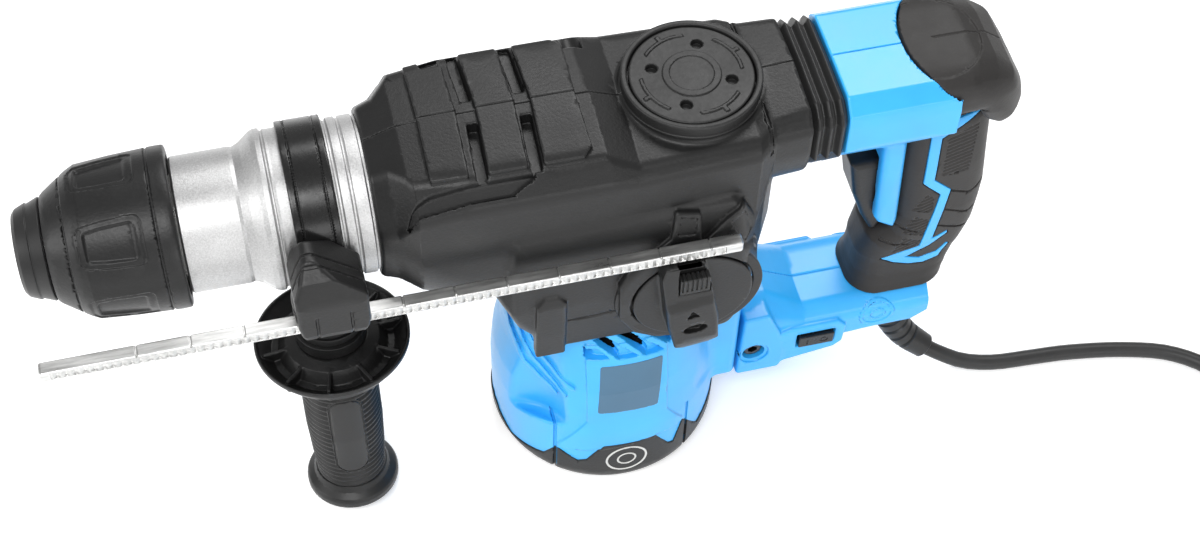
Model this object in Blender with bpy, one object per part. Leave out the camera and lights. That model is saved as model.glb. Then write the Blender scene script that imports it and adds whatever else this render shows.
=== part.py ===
"""Electric rotary hammer (combination hammer with a D-handle), as separate pieces with working joints.

Units are metres, +Z up. The origin is the centre of the motor's foot, on the surface it stands on.
The barrel runs along X with the tool's nose at -X, and the motor stands along Z.
"""
import math

import bmesh
import bpy
from mathutils import Matrix, Vector

MM = 0.001

# ---- driving dimensions, in millimetres ----
AXIS_H = 176.0        # height of the barrel's axis above the foot
NOSE_X = -229.0       # front end of the nose cap
REAR_X = 170.5        # rear end of the rear cap
SLEEVE_R = 31.5       # largest radius of the chuck sleeve
BARREL_R = 30.6       # radius of the aluminium barrel under the clamp
NECK_R = 26.4         # radius of the barrel behind the chuck sleeve
SPINDLE_R = 20.0      # outside of the rotating cylinder tube
RAM_BORE_R = 13.6     # bore of the cylinder tube
TOOL_BORE_R = 5.2     # bore that takes a drill's shank
CLAMP_X = -118.6      # middle of the side handle's clamp band
SWING = 6.8           # side handle's swing towards -Y from straight down, in degrees
GUARD_R = 32.2        # side handle's hand guard
GRIP_R = 15.6         # side handle's grip
ROD_Y, ROD_Z = -48.0, -10.4   # depth rod, from the barrel's axis
ROD_X0, ROD_X1 = -228.0, 41.0
FOOT_R = 50.5         # motor foot
MOTOR_TOP = 102.2     # top of the motor housing
CRANK_X = 31.5        # crank shaft, behind the motor shaft
LAY_X = -30.0         # lay shaft, in front of the motor shaft
CRANK_THROW = 10.0
DIAL_X, DIAL_Z = 24.0, -45.0  # mode dial's centre, from the barrel's axis
CORD_R = 3.6
GAP = 0.3             # gap kept between pieces that touch

COLOURS = {
    "blue": ((0.05, 0.37, 0.80), 0.42, 0.0),
    "black": ((0.035, 0.035, 0.034), 0.55, 0.0),
    "rubber": ((0.028, 0.026, 0.024), 0.80, 0.0),
    "soft": ((0.045, 0.042, 0.040), 0.72, 0.0),
    "alu": ((0.70, 0.70, 0.69), 0.42, 1.0),
    "steel": ((0.48, 0.48, 0.47), 0.32, 1.0),
    "dark_steel": ((0.10, 0.10, 0.10), 0.40, 1.0),
    "brass": ((0.72, 0.50, 0.22), 0.35, 1.0),
    "copper": ((0.62, 0.28, 0.14), 0.40, 1.0),
    "carbon": ((0.04, 0.04, 0.045), 0.70, 0.0),
    "label": ((0.10, 0.22, 0.32), 0.45, 0.0),
    "white": ((0.80, 0.80, 0.78), 0.45, 0.0),
}


# ---- helpers ----
def wipe():
    for obj in list(bpy.data.objects):
        bpy.data.objects.remove(obj, do_unlink=True)


def material(name):
    mat = bpy.data.materials.get(name)
    if mat is None:
        colour, rough, metal = COLOURS[name]
        mat = bpy.data.materials.new(name)
        mat.use_nodes = True
        bsdf = mat.node_tree.nodes["Principled BSDF"]
        bsdf.inputs["Base Color"].default_value = (*colour, 1.0)
        bsdf.inputs["Roughness"].default_value = rough
        bsdf.inputs["Metallic"].default_value = metal
    return mat


def own_material(obj, look):
    """Give the piece a material of its own, made from the named look."""
    mat = material(look).copy()
    mat.name = "mat_" + obj.name
    obj.data.materials.clear()
    obj.data.materials.append(mat)


def finish(name, bm, look, origin=(0, 0, 0), smooth=30.0):
    """Turn a bmesh in millimetres into a named object with its origin at a point in millimetres."""
    bmesh.ops.remove_doubles(bm, verts=bm.verts, dist=0.001)
    bmesh.ops.recalc_face_normals(bm, faces=bm.faces)
    origin = Vector(origin)
    for v in bm.verts:
        v.co = (v.co - origin) * MM
    mesh = bpy.data.meshes.new(name)
    bm.to_mesh(mesh)
    bm.free()
    mesh.shade_smooth()
    mesh.set_sharp_from_angle(angle=math.radians(smooth))
    obj = bpy.data.objects.new(name, mesh)
    bpy.context.scene.collection.objects.link(obj)
    obj.location = origin * MM
    if look:
        own_material(obj, look)
    else:
        obj.hide_render = True
        obj.display_type = "WIRE"
    return obj


def cut(obj, *cutters, op="DIFFERENCE"):
    for tool in cutters:
        mod = obj.modifiers.new(op.title() + "_" + tool.name, "BOOLEAN")
        mod.operation = op
        mod.solver = "EXACT"
        mod.object = tool
    return obj


def frame_to(axis, centre):
    """Matrix that takes a profile's (r, 0, t) plane to an axis through centre."""
    if axis == "X":
        rot = Matrix(((0, 0, 1), (0, 1, 0), (-1, 0, 0)))
    elif axis == "Y":
        rot = Matrix(((1, 0, 0), (0, 0, 1), (0, -1, 0)))
    else:
        rot = Matrix.Identity(3)
    return Matrix.Translation(Vector(centre)) @ rot.to_4x4()


def turned_mesh(profile, steps, axis="X", centre=(0, 0, AXIS_H)):
    """Spin a closed (t, r) outline about an axis. t runs along the axis from centre."""
    bm = bmesh.new()
    verts = [bm.verts.new((r, 0, t)) for t, r in profile]
    edges = [bm.edges.new((a, b)) for a, b in zip(verts, verts[1:] + verts[:1])
             if not (a.co.x < 1e-6 and b.co.x < 1e-6)]
    bmesh.ops.spin(bm, geom=verts + edges, cent=(0, 0, 0), axis=(0, 0, 1), dvec=(0, 0, 0),
                   angle=math.tau, steps=steps, use_merge=True)
    bmesh.ops.remove_doubles(bm, verts=bm.verts, dist=0.001)
    bmesh.ops.delete(bm, geom=[e for e in bm.edges if not e.link_faces], context="EDGES")
    bmesh.ops.transform(bm, matrix=frame_to(axis, centre), verts=bm.verts)
    return bm


def turned(name, profile, look, steps=32, axis="X", centre=(0, 0, AXIS_H), origin=None):
    bm = turned_mesh(profile, steps, axis, centre)
    return finish(name, bm, look, centre if origin is None else origin)


def ring(t0, t1, r0, r1):
    return [(t0, r0), (t1, r0), (t1, r1), (t0, r1)]


def rod(t0, t1, r, bevel=0.0):
    if not bevel:
        return [(t0, 0), (t1, 0), (t1, r), (t0, r)]
    return [(t0, 0), (t1, 0), (t1, r - bevel), (t1 - bevel, r), (t0 + bevel, r), (t0, r - bevel)]


def loft_mesh(loops):
    """Skin a list of equal-length closed loops and cap both ends."""
    bm = bmesh.new()
    rows = [[bm.verts.new(p) for p in loop] for loop in loops]
    count = len(rows[0])
    for a, b in zip(rows, rows[1:]):
        for i in range(count):
            j = (i + 1) % count
            bm.faces.new((a[i], a[j], b[j], b[i]))
    bm.faces.new(rows[0])
    bm.faces.new(rows[-1])
    return bm


def inset(poly, d):
    """Move every side of a closed polygon inwards by d."""
    if not d:
        return list(poly)
    area = sum(a[0] * b[1] - b[0] * a[1] for a, b in zip(poly, poly[1:] + poly[:1]))
    sign = 1.0 if area > 0 else -1.0
    out = []
    for i, p in enumerate(poly):
        a, b, c = Vector(poly[i - 1]), Vector(p), Vector(poly[(i + 1) % len(poly)])
        u, w = (b - a).normalized(), (c - b).normalized()
        n1, n2 = Vector((-u.y, u.x)) * sign, Vector((-w.y, w.x)) * sign
        bis = (n1 + n2).normalized()
        q = b + bis * (d / max(0.35, bis.dot(n1)))
        out.append((q.x, q.y))
    return out


def slab_mesh(poly, layers, plane="XZ"):
    """Loft a polygon through layers of (depth, inset). XZ slabs grow along Y, XY slabs along Z."""
    loops = []
    for depth, d in layers:
        pts = inset(poly, d)
        if plane == "XZ":
            loops.append([(x, depth, z) for x, z in pts])
        elif plane == "XY":
            loops.append([(x, y, depth) for x, y in pts])
        else:
            loops.append([(depth, y, z) for y, z in pts])
    return loft_mesh(loops)


def slab(name, poly, layers, look, plane="XZ", origin=(0, 0, 0)):
    return finish(name, slab_mesh(poly, layers, plane), look, origin)


def box(name, lo, hi, look=None, origin=(0, 0, 0)):
    poly = [(lo[0], lo[1]), (hi[0], lo[1]), (hi[0], hi[1]), (lo[0], hi[1])]
    return slab(name, poly, [(lo[2], 0), (hi[2], 0)], look, "XY", origin)


def join_meshes(*parts):
    bm = bmesh.new()
    for part in parts:
        mesh = bpy.data.meshes.new("tmp")
        part.to_mesh(mesh)
        part.free()
        bm.from_mesh(mesh)
        bpy.data.meshes.remove(mesh)
    return bm


def up(points):
    """Heights given from the barrel's axis become heights above the foot."""
    return [(x, z + AXIS_H) for x, z in points]


def swing(obj):
    """Swing a side handle piece, modelled hanging straight down, about the barrel's axis."""
    turn = Matrix.Rotation(math.radians(-SWING), 4, "X")
    pivot = Matrix.Translation(Vector((0, 0, AXIS_H * MM)))
    obj.matrix_basis = pivot @ turn @ pivot.inverted() @ obj.matrix_basis
    return obj


# ---- nose and barrel ----
def make_nose():
    turned("nose_cap", [(NOSE_X, 7.5), (NOSE_X, 15.6), (NOSE_X + 1.4, 16.9), (-218.6, 20.0), (-218.2, 19.6),
                        (-218.2, 12.0), (-225.6, 12.0), (-225.6, 7.5)], "rubber", 28)
    turned("chuck_sleeve", [(-217.6, 17.4), (-217.6, 20.3), (-216.4, 21.4), (-206.5, 28.2), (-204.4, 29.3),
                            (-190, 30.7), (-172, SLEEVE_R), (-169.9, 31.2), (-169.2, 30.0), (-169.2, 27.4),
                            (-203, 27.4), (-206, 24.0), (-211, 17.4)], "black", 32)
    holder = turned("tool_holder", [(-225.2, TOOL_BORE_R), (-225.2, 11.6), (-218.0, 11.6), (-217.9, 16.9),
                                    (-176, 16.9), (-174, SPINDLE_R), (-22, SPINDLE_R), (-22, RAM_BORE_R),
                                    (-150, RAM_BORE_R), (-156, 8.2), (-186, 8.2), (-186, TOOL_BORE_R)],
                    "steel", 20)
    hole = turned("cut_ball_holes", rod(-30, 30, 3.9), None, 12, "Z", (-204, 0, AXIS_H))
    cut(holder, hole)
    for side, name in ((1, "lock_ball_upper"), (-1, "lock_ball_lower")):
        bm = bmesh.new()
        bmesh.ops.create_uvsphere(bm, u_segments=8, v_segments=6, radius=3.5)
        bmesh.ops.translate(bm, verts=bm.verts, vec=(-204, 0, AXIS_H + side * 8.3))
        finish(name, bm, "steel", (-204, 0, AXIS_H + side * 8.3))
    make_spring("chuck_spring", (-200, 0, AXIS_H), Vector((1, 0, 0)), 21.6, 1.0, 20.0, 4)
    barrel = [(-168.6, 20.9), (-168.6, 25.6), (-167.8, NECK_R), (-144, NECK_R), (-142, 27.0), (-137.5, 30.6),
              (-135.5, 31.4), (-133.4, 31.4), (-132.8, 30.9), (-132.2, BARREL_R), (-109.2, BARREL_R),
              (-108.8, 30.9), (-95.3, 30.9), (-95.0, 28.6), (-62, 28.6), (-62, 23.0), (-150, 23.0), (-150, 20.9)]
    turned("front_barrel", barrel, "alu", 32)


def make_spring(name, start, along, radius, wire, length, turns):
    """A round wire wound into a coil, as a bevelled curve with closed ends."""
    curve = bpy.data.curves.new(name, "CURVE")
    curve.dimensions = "3D"
    curve.bevel_depth = wire * MM
    curve.bevel_resolution = 0
    curve.use_fill_caps = True
    count = turns * 10
    spline = curve.splines.new("POLY")
    spline.points.add(count)
    side = Vector((0, 0, 1)) if abs(along.z) < 0.5 else Vector((1, 0, 0))
    other = along.cross(side)
    for i, point in enumerate(spline.points):
        a = math.tau * turns * i / count
        pos = along * (length * i / count) + (side * math.cos(a) + other * math.sin(a)) * radius
        point.co = (*(pos * MM), 1.0)
    obj = bpy.data.objects.new(name, curve)
    bpy.context.scene.collection.objects.link(obj)
    obj.location = Vector(start) * MM
    own_material(obj, "steel")
    return obj


# ---- side handle ----
def make_side_handle():
    band_x0, band_x1 = CLAMP_X - 8.6, CLAMP_X + 8.6
    swing(turned("clamp_band", ring(band_x0, band_x1, BARREL_R + 0.3, BARREL_R + 2.3), "black", 32))
    turn = math.radians(SWING)
    rod_y = ROD_Y * math.cos(turn) - ROD_Z * math.sin(turn)
    rod_z = ROD_Y * math.sin(turn) + ROD_Z * math.cos(turn)
    outline = [(-14, -50), (-32, -40), (-49, -27), (-54, -20), (-54.5, -4), (-50, 8), (-43, 15), (-36, 17),
               (-24, 0), (0, -24), (26, -8), (36, -4), (38, -14), (33, -30), (14, -50)]
    outline = [(y, z + AXIS_H) for y, z in outline]
    head = slab("clamp_head", outline, [(CLAMP_X - 12.2, 1.6), (CLAMP_X - 10.6, 0), (CLAMP_X + 10.6, 0),
                                        (CLAMP_X + 12.2, 1.6)], "black", "YZ", (CLAMP_X, 0, AXIS_H))
    saddle = turned("cut_saddle", rod(CLAMP_X - 14, CLAMP_X + 14, BARREL_R + 2.6), None, 32)
    rod_hole = turned("cut_rod_hole", rod(-14, 14, 4.1), None, 16, "X", (CLAMP_X, rod_y, AXIS_H + rod_z))
    bolt_hole = turned("cut_bolt_hole", [(-60, 0), (-30, 0), (-30, 7.6), (-42.6, 7.6), (-42.6, 4.4), (-60, 4.4)],
                       None, 16, "Z", (CLAMP_X, 0, AXIS_H))
    cut(head, saddle, rod_hole, bolt_hole)
    for tool in (saddle, rod_hole, bolt_hole):
        swing(tool)
    swing(head)
    foot = (CLAMP_X, 0, AXIS_H)
    swing(turned("handle_bolt", [(-36.5, 0), (-36.5, 7.0), (-42.0, 7.0), (-42.2, 4.0), (-130, 4.0), (-130, 0)],
                 "steel", 16, "Z", foot))
    neck = [(-50.4, 4.5), (-50.4, 13.0)]
    for i in range(4):
        t = -53.0 - i * 4.6
        neck += [(t, 13.8), (t - 3.0, 13.9), (t - 3.3, 12.9), (t - 4.3, 12.9)]
    neck += [(-71.6, 14.4), (-77.4, 14.4), (-77.4, 4.5)]
    swing(turned("handle_neck", neck, "black", 20, "Z", foot))
    dish = [(-77.8, 4.6), (-77.8, 15.0), (-79.5, 19.5), (-84.2, 22.6), (-84.6, 25.5), (-80.2, 30.4),
            (-78.4, 31.4), (-78.6, GUARD_R), (-80.2, GUARD_R), (-87.8, 27.4), (-90.0, 21.0), (-90.0, 4.6)]
    swing(turned("hand_guard", dish, "black", 32, "Z", foot))
    grip = [(-90.4, 4.6), (-90.4, 14.6), (-92, GRIP_R), (-108, 16.2), (-130, 16.4), (-150, 15.6), (-163, 14.8),
            (-167, 16.5), (-168.6, 19.4), (-170, 20.1), (-172.4, 20.1), (-174.4, 18.6), (-174.6, 0), (-134, 0),
            (-134, 4.6)]
    swing(turned("side_grip", grip, "rubber", 24, "Z", foot))


def make_depth_rod():
    """Square steel rod with a row of stop teeth on its outer face."""
    half, pitch = 2.7, 6.0
    count = int((ROD_X1 - ROD_X0 - 8) / pitch)
    top, low = ROD_Z + half, ROD_Z - half
    outer, valley = ROD_Y - half, ROD_Y - half + 0.9
    poly = [(ROD_X0, ROD_Y + half)]
    poly.append((ROD_X0, outer + 0.6))
    for i in range(count):
        x = ROD_X0 + 3 + i * pitch
        poly += [(x, outer), (x + pitch * 0.5, valley)]
    poly += [(ROD_X1 - 1.6, outer), (ROD_X1, outer + 1.6), (ROD_X1, ROD_Y + half)]
    slab("depth_rod", poly, [(low + AXIS_H, 0), (top + AXIS_H, 0)], "steel", "XY",
         (CLAMP_X, ROD_Y, AXIS_H + ROD_Z))


# ---- gear housing ----
UPPER = [  # x, then (y, z) points from the top seam round to the bottom seam, z from the barrel's axis
    (-94.6, [(0, 32.4), (13, 30.0), (23.5, 22.5), (31.5, 9), (31.8, -8), (22, -25), (0, -33)]),
    (-90.0, [(0, 33.5), (15, 32.2), (25, 25.5), (33.6, 12), (34.2, -10), (24, -28), (0, -34)]),
    (-82.0, [(0, 37.0), (24, 35.6), (31, 31), (36.8, 22), (37.2, -14), (28, -33), (0, -37)]),
    (-62.0, [(0, 38.4), (26, 36.0), (32, 32.6), (37.4, 26), (38.4, -20), (34, -34), (0, -38)]),
    (-8.0, [(0, 37.6), (25, 35.6), (31.6, 32.0), (37.4, 27), (38.6, -20), (34, -34), (0, -38)]),
    (2.0, [(0, 32.0), (24, 31.4), (31.0, 30.6), (36.4, 26), (38.6, -20), (34, -34), (0, -38)]),
    (50.0, [(0, 32.2), (23, 31.6), (29.6, 30.4), (35.0, 26), (36.6, -12), (33, -30), (0, -36)]),
    (57.0, [(0, 33.6), (22, 32.8), (27.6, 29.6), (30.6, 25), (30.8, 5), (16, -24), (0, -27)]),
    (72.0, [(0, 34.6), (22, 33.6), (27.0, 30.0), (29.6, 26), (29.8, 6), (15, -25), (0, -28)]),
]
CRANK_PLAN = [(-62, 0), (-61, -20), (-48, -41.2), (43, -41.6), (57, -26), (65, -12), (66, 0)]
CRANK_LOW = [(-46, 0), (-46, -20), (-37, -38.5), (40, -40.4), (54, -25), (62, -12), (63, 0)]


def housing_half(name, side):
    seam = 0.15
    loops = []
    for x, pts in UPPER:
        ring_pts = [(max(y, seam), z) for y, z in pts]
        loops.append([(x, side * y, z + AXIS_H) for y, z in ring_pts])
    half = finish(name, loft_mesh(loops), "black")
    plan = [(x, -side * min(y, -seam)) for x, y in CRANK_PLAN]
    low = [(x, -side * min(y, -seam)) for x, y in CRANK_LOW]
    top = [(x * 0.96, y * 0.9) for x, y in plan]
    levels = [(top, 2.0), (plan, -14.0), (plan, -43.0), (low, -70.0), (inset(low, 1.4), -73.2)]
    block = loft_mesh([[(x, side * max(abs(y), seam), z + AXIS_H) for x, y in pts] for pts, z in levels])
    box_obj = finish("add_crankcase_" + name, block, None)
    cut(half, box_obj, op="UNION")
    bore = turned("cut_bore_" + name, [(-96, 0), (-96, 31.2), (-94.0, 31.2), (-94.0, 28.95), (-61.6, 28.95),
                                       (-61.6, 31.2), (-10, 31.2), (-2, 28.6), (46, 27.0), (54, 23.5),
                                       (67, 23.5), (67, 0)], None, 32)
    cavity = slab_mesh([(-42, -37.0), (41, -37.8), (52, -23.5), (59, -11), (59, 11), (52, 23.5), (41, 37.8),
                        (-42, 37.0), (-54, 18), (-54, -18)], [(101, 0), (160, 0)], "XY")
    cav = finish("cut_cavity_" + name, cavity, None)
    cut(half, bore, cav)
    # cooling slots across the top
    slots = []
    for x in (-57.6, -38.6):
        poly = [(x, side * 5.5), (x + 5.2, side * 5.5), (x + 7.4, side * 31.0), (x + 2.2, side * 31.0)]
        slots.append(slab_mesh(poly, [(AXIS_H + 33.4, 0), (AXIS_H + 42, 0)], "XY"))
    cut(half, finish("cut_slots_" + name, join_meshes(*slots), None))
    if side < 0:
        dial = turned("cut_dial_seat", rod(-45, -30, 20.6), None, 32, "Y", (DIAL_X, 0, AXIS_H + DIAL_Z))
        cut(half, dial)
    cap = turned("cut_grease_" + name, rod(AXIS_H + 20, AXIS_H + 44, 25.6), None, 36, "Z", (31, 0, 0))
    cut(half, cap)
    return half


def make_grease_cap():
    centre = (31, 0, AXIS_H)
    turned("grease_cap", [(30.2, 0), (30.2, 23.6), (34.4, 23.6), (34.4, 27.2), (36.8, 27.4), (37.8, 26.6),
                          (37.8, 0)], "black", 32, "Z", centre)


def make_bellows():
    """Three rubber folds between the gear housing and the rear handle."""
    base = [(0, 33.4), (21, 32.6), (26.4, 28.8), (28.6, 24.6), (28.8, 6.6), (15, -24), (0, -27)]
    full = [(y, z) for y, z in base] + [(-y, z) for y, z in reversed(base[1:-1])]
    loops = []
    x = 72.4
    for i in range(3):
        loops += [(x + 0.0, 1.8), (x + 0.9, 0.0), (x + 3.6, 0.0), (x + 4.5, 1.8)]
        x += 4.9
    outer = loft_mesh([[(lx, y, z + AXIS_H) for y, z in inset(full, d)] for lx, d in loops])
    obj = finish("bellows", outer, "rubber", (72.4, 0, AXIS_H))
    hole = loft_mesh([[(lx, y, z + AXIS_H) for y, z in inset(full, 4.2)] for lx in (70.0, 92.0)])
    cut(obj, finish("cut_bellows", hole, None))


# ---- rear handle ----
ARM = [(0, 33.8), (21.6, 33.2), (27.6, 27.4), (28.2, 22.0), (28.4, 7.6), (13, -26), (0, -28)]
ARM_END = [(114.8, 40), (136.8, 6), (136.8, -40), (84, -40), (84, 40)]
GRIP_CORE = [(113.6, -20), (120.0, -62), (118.5, -80), (112, -96), (110.5, -118), (150, -118), (152.6, -96),
             (152.6, -28.2), (137.0, -28.2), (136.8, -20)]
BRIDGE = [(56.8, -103.5), (69, -103.5), (78, -109), (86, -113.5), (150, -113.5), (155, -119), (151, -127),
          (140, -133.5), (120, -133.5), (106, -134.5), (101, -139), (78, -143), (75, -147), (55.4, -147)]


def handle_half(name, side):
    seam = 0.15
    loops = []
    for x in (86.9, 112.0, 137.6):
        loops.append([(x, side * max(y, seam), z + AXIS_H) for y, z in ARM])
    arm = finish(name, loft_mesh(loops), "blue")
    trim = slab_mesh([(114.8, 226), (114.8, 209.8), (137.2, 182.0), (137.2, 140), (150, 140), (150, 226)],
                     [(-40, 0), (40, 0)])
    cut(arm, finish("cut_arm_end_" + name, trim, None))
    grip = slab_mesh(up(GRIP_CORE), [(side * seam, 0), (side * 10.6, 0), (side * 13.4, 2.8)])
    bridge = slab_mesh(up(BRIDGE), [(side * seam, 0), (side * 15.0, 0), (side * 24.6, 5.6)])
    cut(arm, finish("add_grip_" + name, grip, None), finish("add_bridge_" + name, bridge, None), op="UNION")
    inner = [(0, 29), (19, 28.6), (23.4, 24), (24, 20), (24, 8), (10, -20.4), (0, -22.6)]
    inner += [(-y, z) for y, z in reversed(inner[1:-1])]
    hollow_arm = loft_mesh([[(x, y * wide, AXIS_H - 22.6 + (z + 22.6) * rise) for y, z in inner]
                            for x, wide, rise in ((84, 1.0, 1.0), (111, 1.0, 1.0), (132, 0.6, 0.46))])
    hollow_grip = slab_mesh(up([(119, -15), (126, -60), (126, -119), (146, -119), (148, -60), (146, -15)]),
                            [(-9, 0), (9, 0)])
    hollow_bridge = slab_mesh(up([(50, -108), (68, -108), (77, -113), (86, -117.5), (147, -117.5),
                                  (148, -122), (139, -129.6), (106, -130.6), (98, -135.6), (76, -142),
                                  (50, -142)]), [(-17.4, 0), (17.4, 0)])
    cut(arm, finish("cut_arm_" + name, hollow_arm, None), finish("cut_grip_" + name, hollow_grip, None),
        finish("cut_bridge_" + name, hollow_bridge, None))
    pin = turned("cut_pivot_" + name, rod(-30, 30, 4.4), None, 16, "Y", (63, 0, 43.5))
    cord = turned("cut_cord_" + name, rod(36, 62, 8.3), None, 20, "Z", (128, -5.4, 0))
    trig = slab_mesh(up([(96, -26.6), (122, -26.6), (125, -38), (125, -56), (122.2, -63), (121.6, -74),
                         (110, -74)]), [(-9.6, 0), (9.6, 0)])
    cut(arm, pin, cord, finish("cut_trigger_" + name, trig, None))
    if side < 0:
        cut(arm, box("cut_switch_window", (82.2, -28, 42.1), (100.2, -15, 51.5)))
    return arm


def make_rear_cap():
    outline = up([(115.2, 34.4), (142, 34.4), (150.5, 31.2), (158.5, 25), (165, 14), (169, 3), (REAR_X, -7),
                  (168.6, -16), (164.6, -24.6), (158, -27.6), (137.6, -27.6), (137.6, 6.2)])
    cap = slab("rear_cap", outline, [(-27.0, 7.0), (-22.4, 1.8), (-17, 0), (17, 0), (22.4, 1.8), (27.0, 7.0)],
               "soft")
    hollow = slab_mesh(up([(112, 28), (138, 28), (150, 20), (158, 4), (160, -8), (158, -18), (130, -18),
                           (130, 6)]), [(-18, 0), (18, 0)])
    cut(cap, finish("cut_rear_cap", hollow, None))


def make_grip_pad():
    """Soft U-shaped jacket on the back of the grip's core."""
    outline = up([(124, -28.6), (164.2, -28.6), (165.6, -50), (165.4, -76), (163.4, -101), (157.6, -113.1),
                  (115.0, -113.1), (118.0, -92), (124, -77)])
    pad = slab("grip_pad", outline, [(-17.0, 3.2), (-12.4, 0), (12.4, 0), (17.0, 3.2)], "soft")
    cut(pad, box("cut_grip_pad", (110, -13.75, AXIS_H - 120), (153, 13.75, AXIS_H - 10)))


def make_trigger():
    outline = up([(97.4, -29.2), (115.4, -29.2), (120.2, -60), (120.2, -70), (117.4, -76.6), (114.6, -76.8),
                  (108.5, -66), (101.5, -50)])
    slab("trigger", outline, [(-9.0, 1.6), (-7.4, 0), (7.4, 0), (9.0, 1.6)], "black", "XZ",
         (117.0, 0, AXIS_H - 72.6))
    make_spring("trigger_spring", (119.2, 0, AXIS_H - 46), Vector((1, 0, 0)), 2.6, 0.5, 4.4, 3)
    box("switch_body", (127.2, -8.4, AXIS_H - 74), (144.5, 8.4, AXIS_H - 36), "black")


def make_rocker():
    """Small on-off rocker in a window low on the near side, turning on a short pin along X."""
    poly = [(-25.6, 43.1), (-25.9, 50.5), (-22.0, 50.5), (-19.6, 46.8), (-22.0, 43.1)]
    slab("rocker_switch", poly, [(83.2, 0), (99.2, 0)], "black", "YZ", (91.2, -22.0, 46.8))


def make_pivot():
    """Cross pin that the rear handle rocks on, with a cap screw at each end."""
    turned("pivot_pin", rod(-16.0, 16.0, 4.1), "steel", 16, "Y", (63, 0, 43.5))
    for side, name in ((-1, "pivot_screw_near"), (1, "pivot_screw_far")):
        prof = [(side * 16.3, 0), (side * 16.3, 4.0), (side * 21.5, 4.0), (side * 22.0, 3.4), (side * 22.0, 0)]
        screw = turned(name, prof, "dark_steel", 16, "Y", (63, 0, 43.5))
        bm = bmesh.new()
        bmesh.ops.create_circle(bm, cap_ends=True, segments=6, radius=2.0)
        faces = bmesh.ops.extrude_face_region(bm, geom=bm.faces[:])
        bmesh.ops.translate(bm, verts=[v for v in faces["geom"] if isinstance(v, bmesh.types.BMVert)], vec=(0, 0, 4))
        bmesh.ops.rotate(bm, verts=bm.verts, cent=(0, 0, 0), matrix=Matrix.Rotation(math.radians(90), 3, "X"))
        start = side * 22.5 if side > 0 else -18.5
        bmesh.ops.translate(bm, verts=bm.verts, vec=(63, start, 43.5))
        cut(screw, finish("cut_hex_" + name, bm, None))


# ---- motor ----
def oval(rx, ry, count=36, power=1.0):
    """Closed oval outline in XY; power below 1 squares it off."""
    pts = []
    for i in range(count):
        a = math.tau * i / count
        c, s = math.cos(a), math.sin(a)
        pts.append((rx * math.copysign(abs(c) ** power, c), ry * math.copysign(abs(s) ** power, s)))
    return pts


def stack(levels, count=36, power=1.0):
    return loft_mesh([[(x + dx, y, z) for x, y in oval(rx, ry, count, power)] for rx, ry, z, dx in levels])


def make_motor_case():
    case = finish("motor_housing", stack([(FOOT_R - 0.6, FOOT_R - 0.8, 18.4, 0), (50.2, 49.4, 40, 0),
                                          (49.6, 47.6, 70, 0), (48.0, 44.6, 88, -0.5), (46.0, 41.4, 97, -1),
                                          (44.6, 40.0, MOTOR_TOP, -1)]), "blue")
    tube = finish("cut_motor_tube", stack([(44.6, 43.6, 10, 0), (44.6, 43.0, 66, 0), (41.0, 37.4, 96, 0),
                                           (41.0, 37.4, 110, 0)]), None)
    boss = slab_mesh([(30, 30), (54.2, 30), (55.2, 84), (30, 84)], [(-24.4, 3.6), (-20, 0), (20, 0), (24.4, 3.6)])
    tongue = slab_mesh([(50, 36.8), (63, 36.8), (70.5, 40), (70.5, 47), (63, 50.4), (50, 50.4)],
                       [(-11.6, 0), (11.6, 0)])
    cut(case, finish("add_handle_boss", boss, None), finish("add_handle_tongue", tongue, None), op="UNION")
    cut(case, tube, turned("cut_tongue_pin", rod(-30, 30, 4.3), None, 16, "Y", (63, 0, 43.5)))
    vents = [slab_mesh([(x, 86 + i), (x + 12, 90 + i), (x + 12, 93 + i), (x, 89 + i)], [(-60, 0), (-36, 0)])
             for i, x in enumerate((-22.0, -8.0, 6.0))]
    cut(case, finish("cut_vents", join_meshes(*vents), None))
    foot = finish("foot_cap", stack([(44.0, 44.0, 0, 0), (48.6, 48.6, 3.2, 0), (FOOT_R, FOOT_R, 6.5, 0),
                                     (FOOT_R, FOOT_R, 18.0, 0)]), "black")
    cut(foot, turned("cut_foot", [(6, 0), (6, 34), (14, 43), (20, 43), (20, 0)], None, 36, "Z", (0, 0, 0)))
    slab("label_plate", [(-12.4, 46.8), (14.6, 46.8), (14.6, 84.2), (-12.4, 84.2)],
                 [(-50.6, 0.3), (-50.1, 0)], "label")
    turned("foot_badge", [(-51.2, 0), (-51.2, 4.4), (-50.8, 4.8), (-50.8, 0)], "white", 20, "Y", (3, 0, 11.5))


def make_motor():
    core = (0, 0, 0)
    shaft = [(8.2, 0), (8.2, 4.0), (9.0, 4.0), (16.6, 4.0), (17.0, 5.0), (97.6, 5.0), (98.0, 4.9), (127, 4.9),
             (127.6, 4.3), (127.6, 0)]
    turned("motor_shaft", shaft, "steel", 16, "Z", core)
    turned("armature_core", ring(36, 76, 5.2, 24), "dark_steel", 28, "Z", core)
    turned("commutator", ring(19, 31, 5.2, 14), "copper", 24, "Z", core)
    turned("stator", ring(33, 76, 25.2, 40.4), "dark_steel", 28, "Z", core)
    turned("fan", [(80, 5.2), (80, 36), (81.6, 36), (86, 34.4), (88, 14), (89, 9), (89, 5.2)], "black", 28, "Z", core)
    turned("gear_plate", ring(102.6, 108, 13.4, 36.2), "alu", 32, "Z", core)
    for side, name in ((-1, "brush_left"), (1, "brush_right")):
        lo, hi = sorted((side * 14.4, side * 26))
        box(name, (lo, -4, 21), (hi, 4, 29), "carbon")


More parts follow.
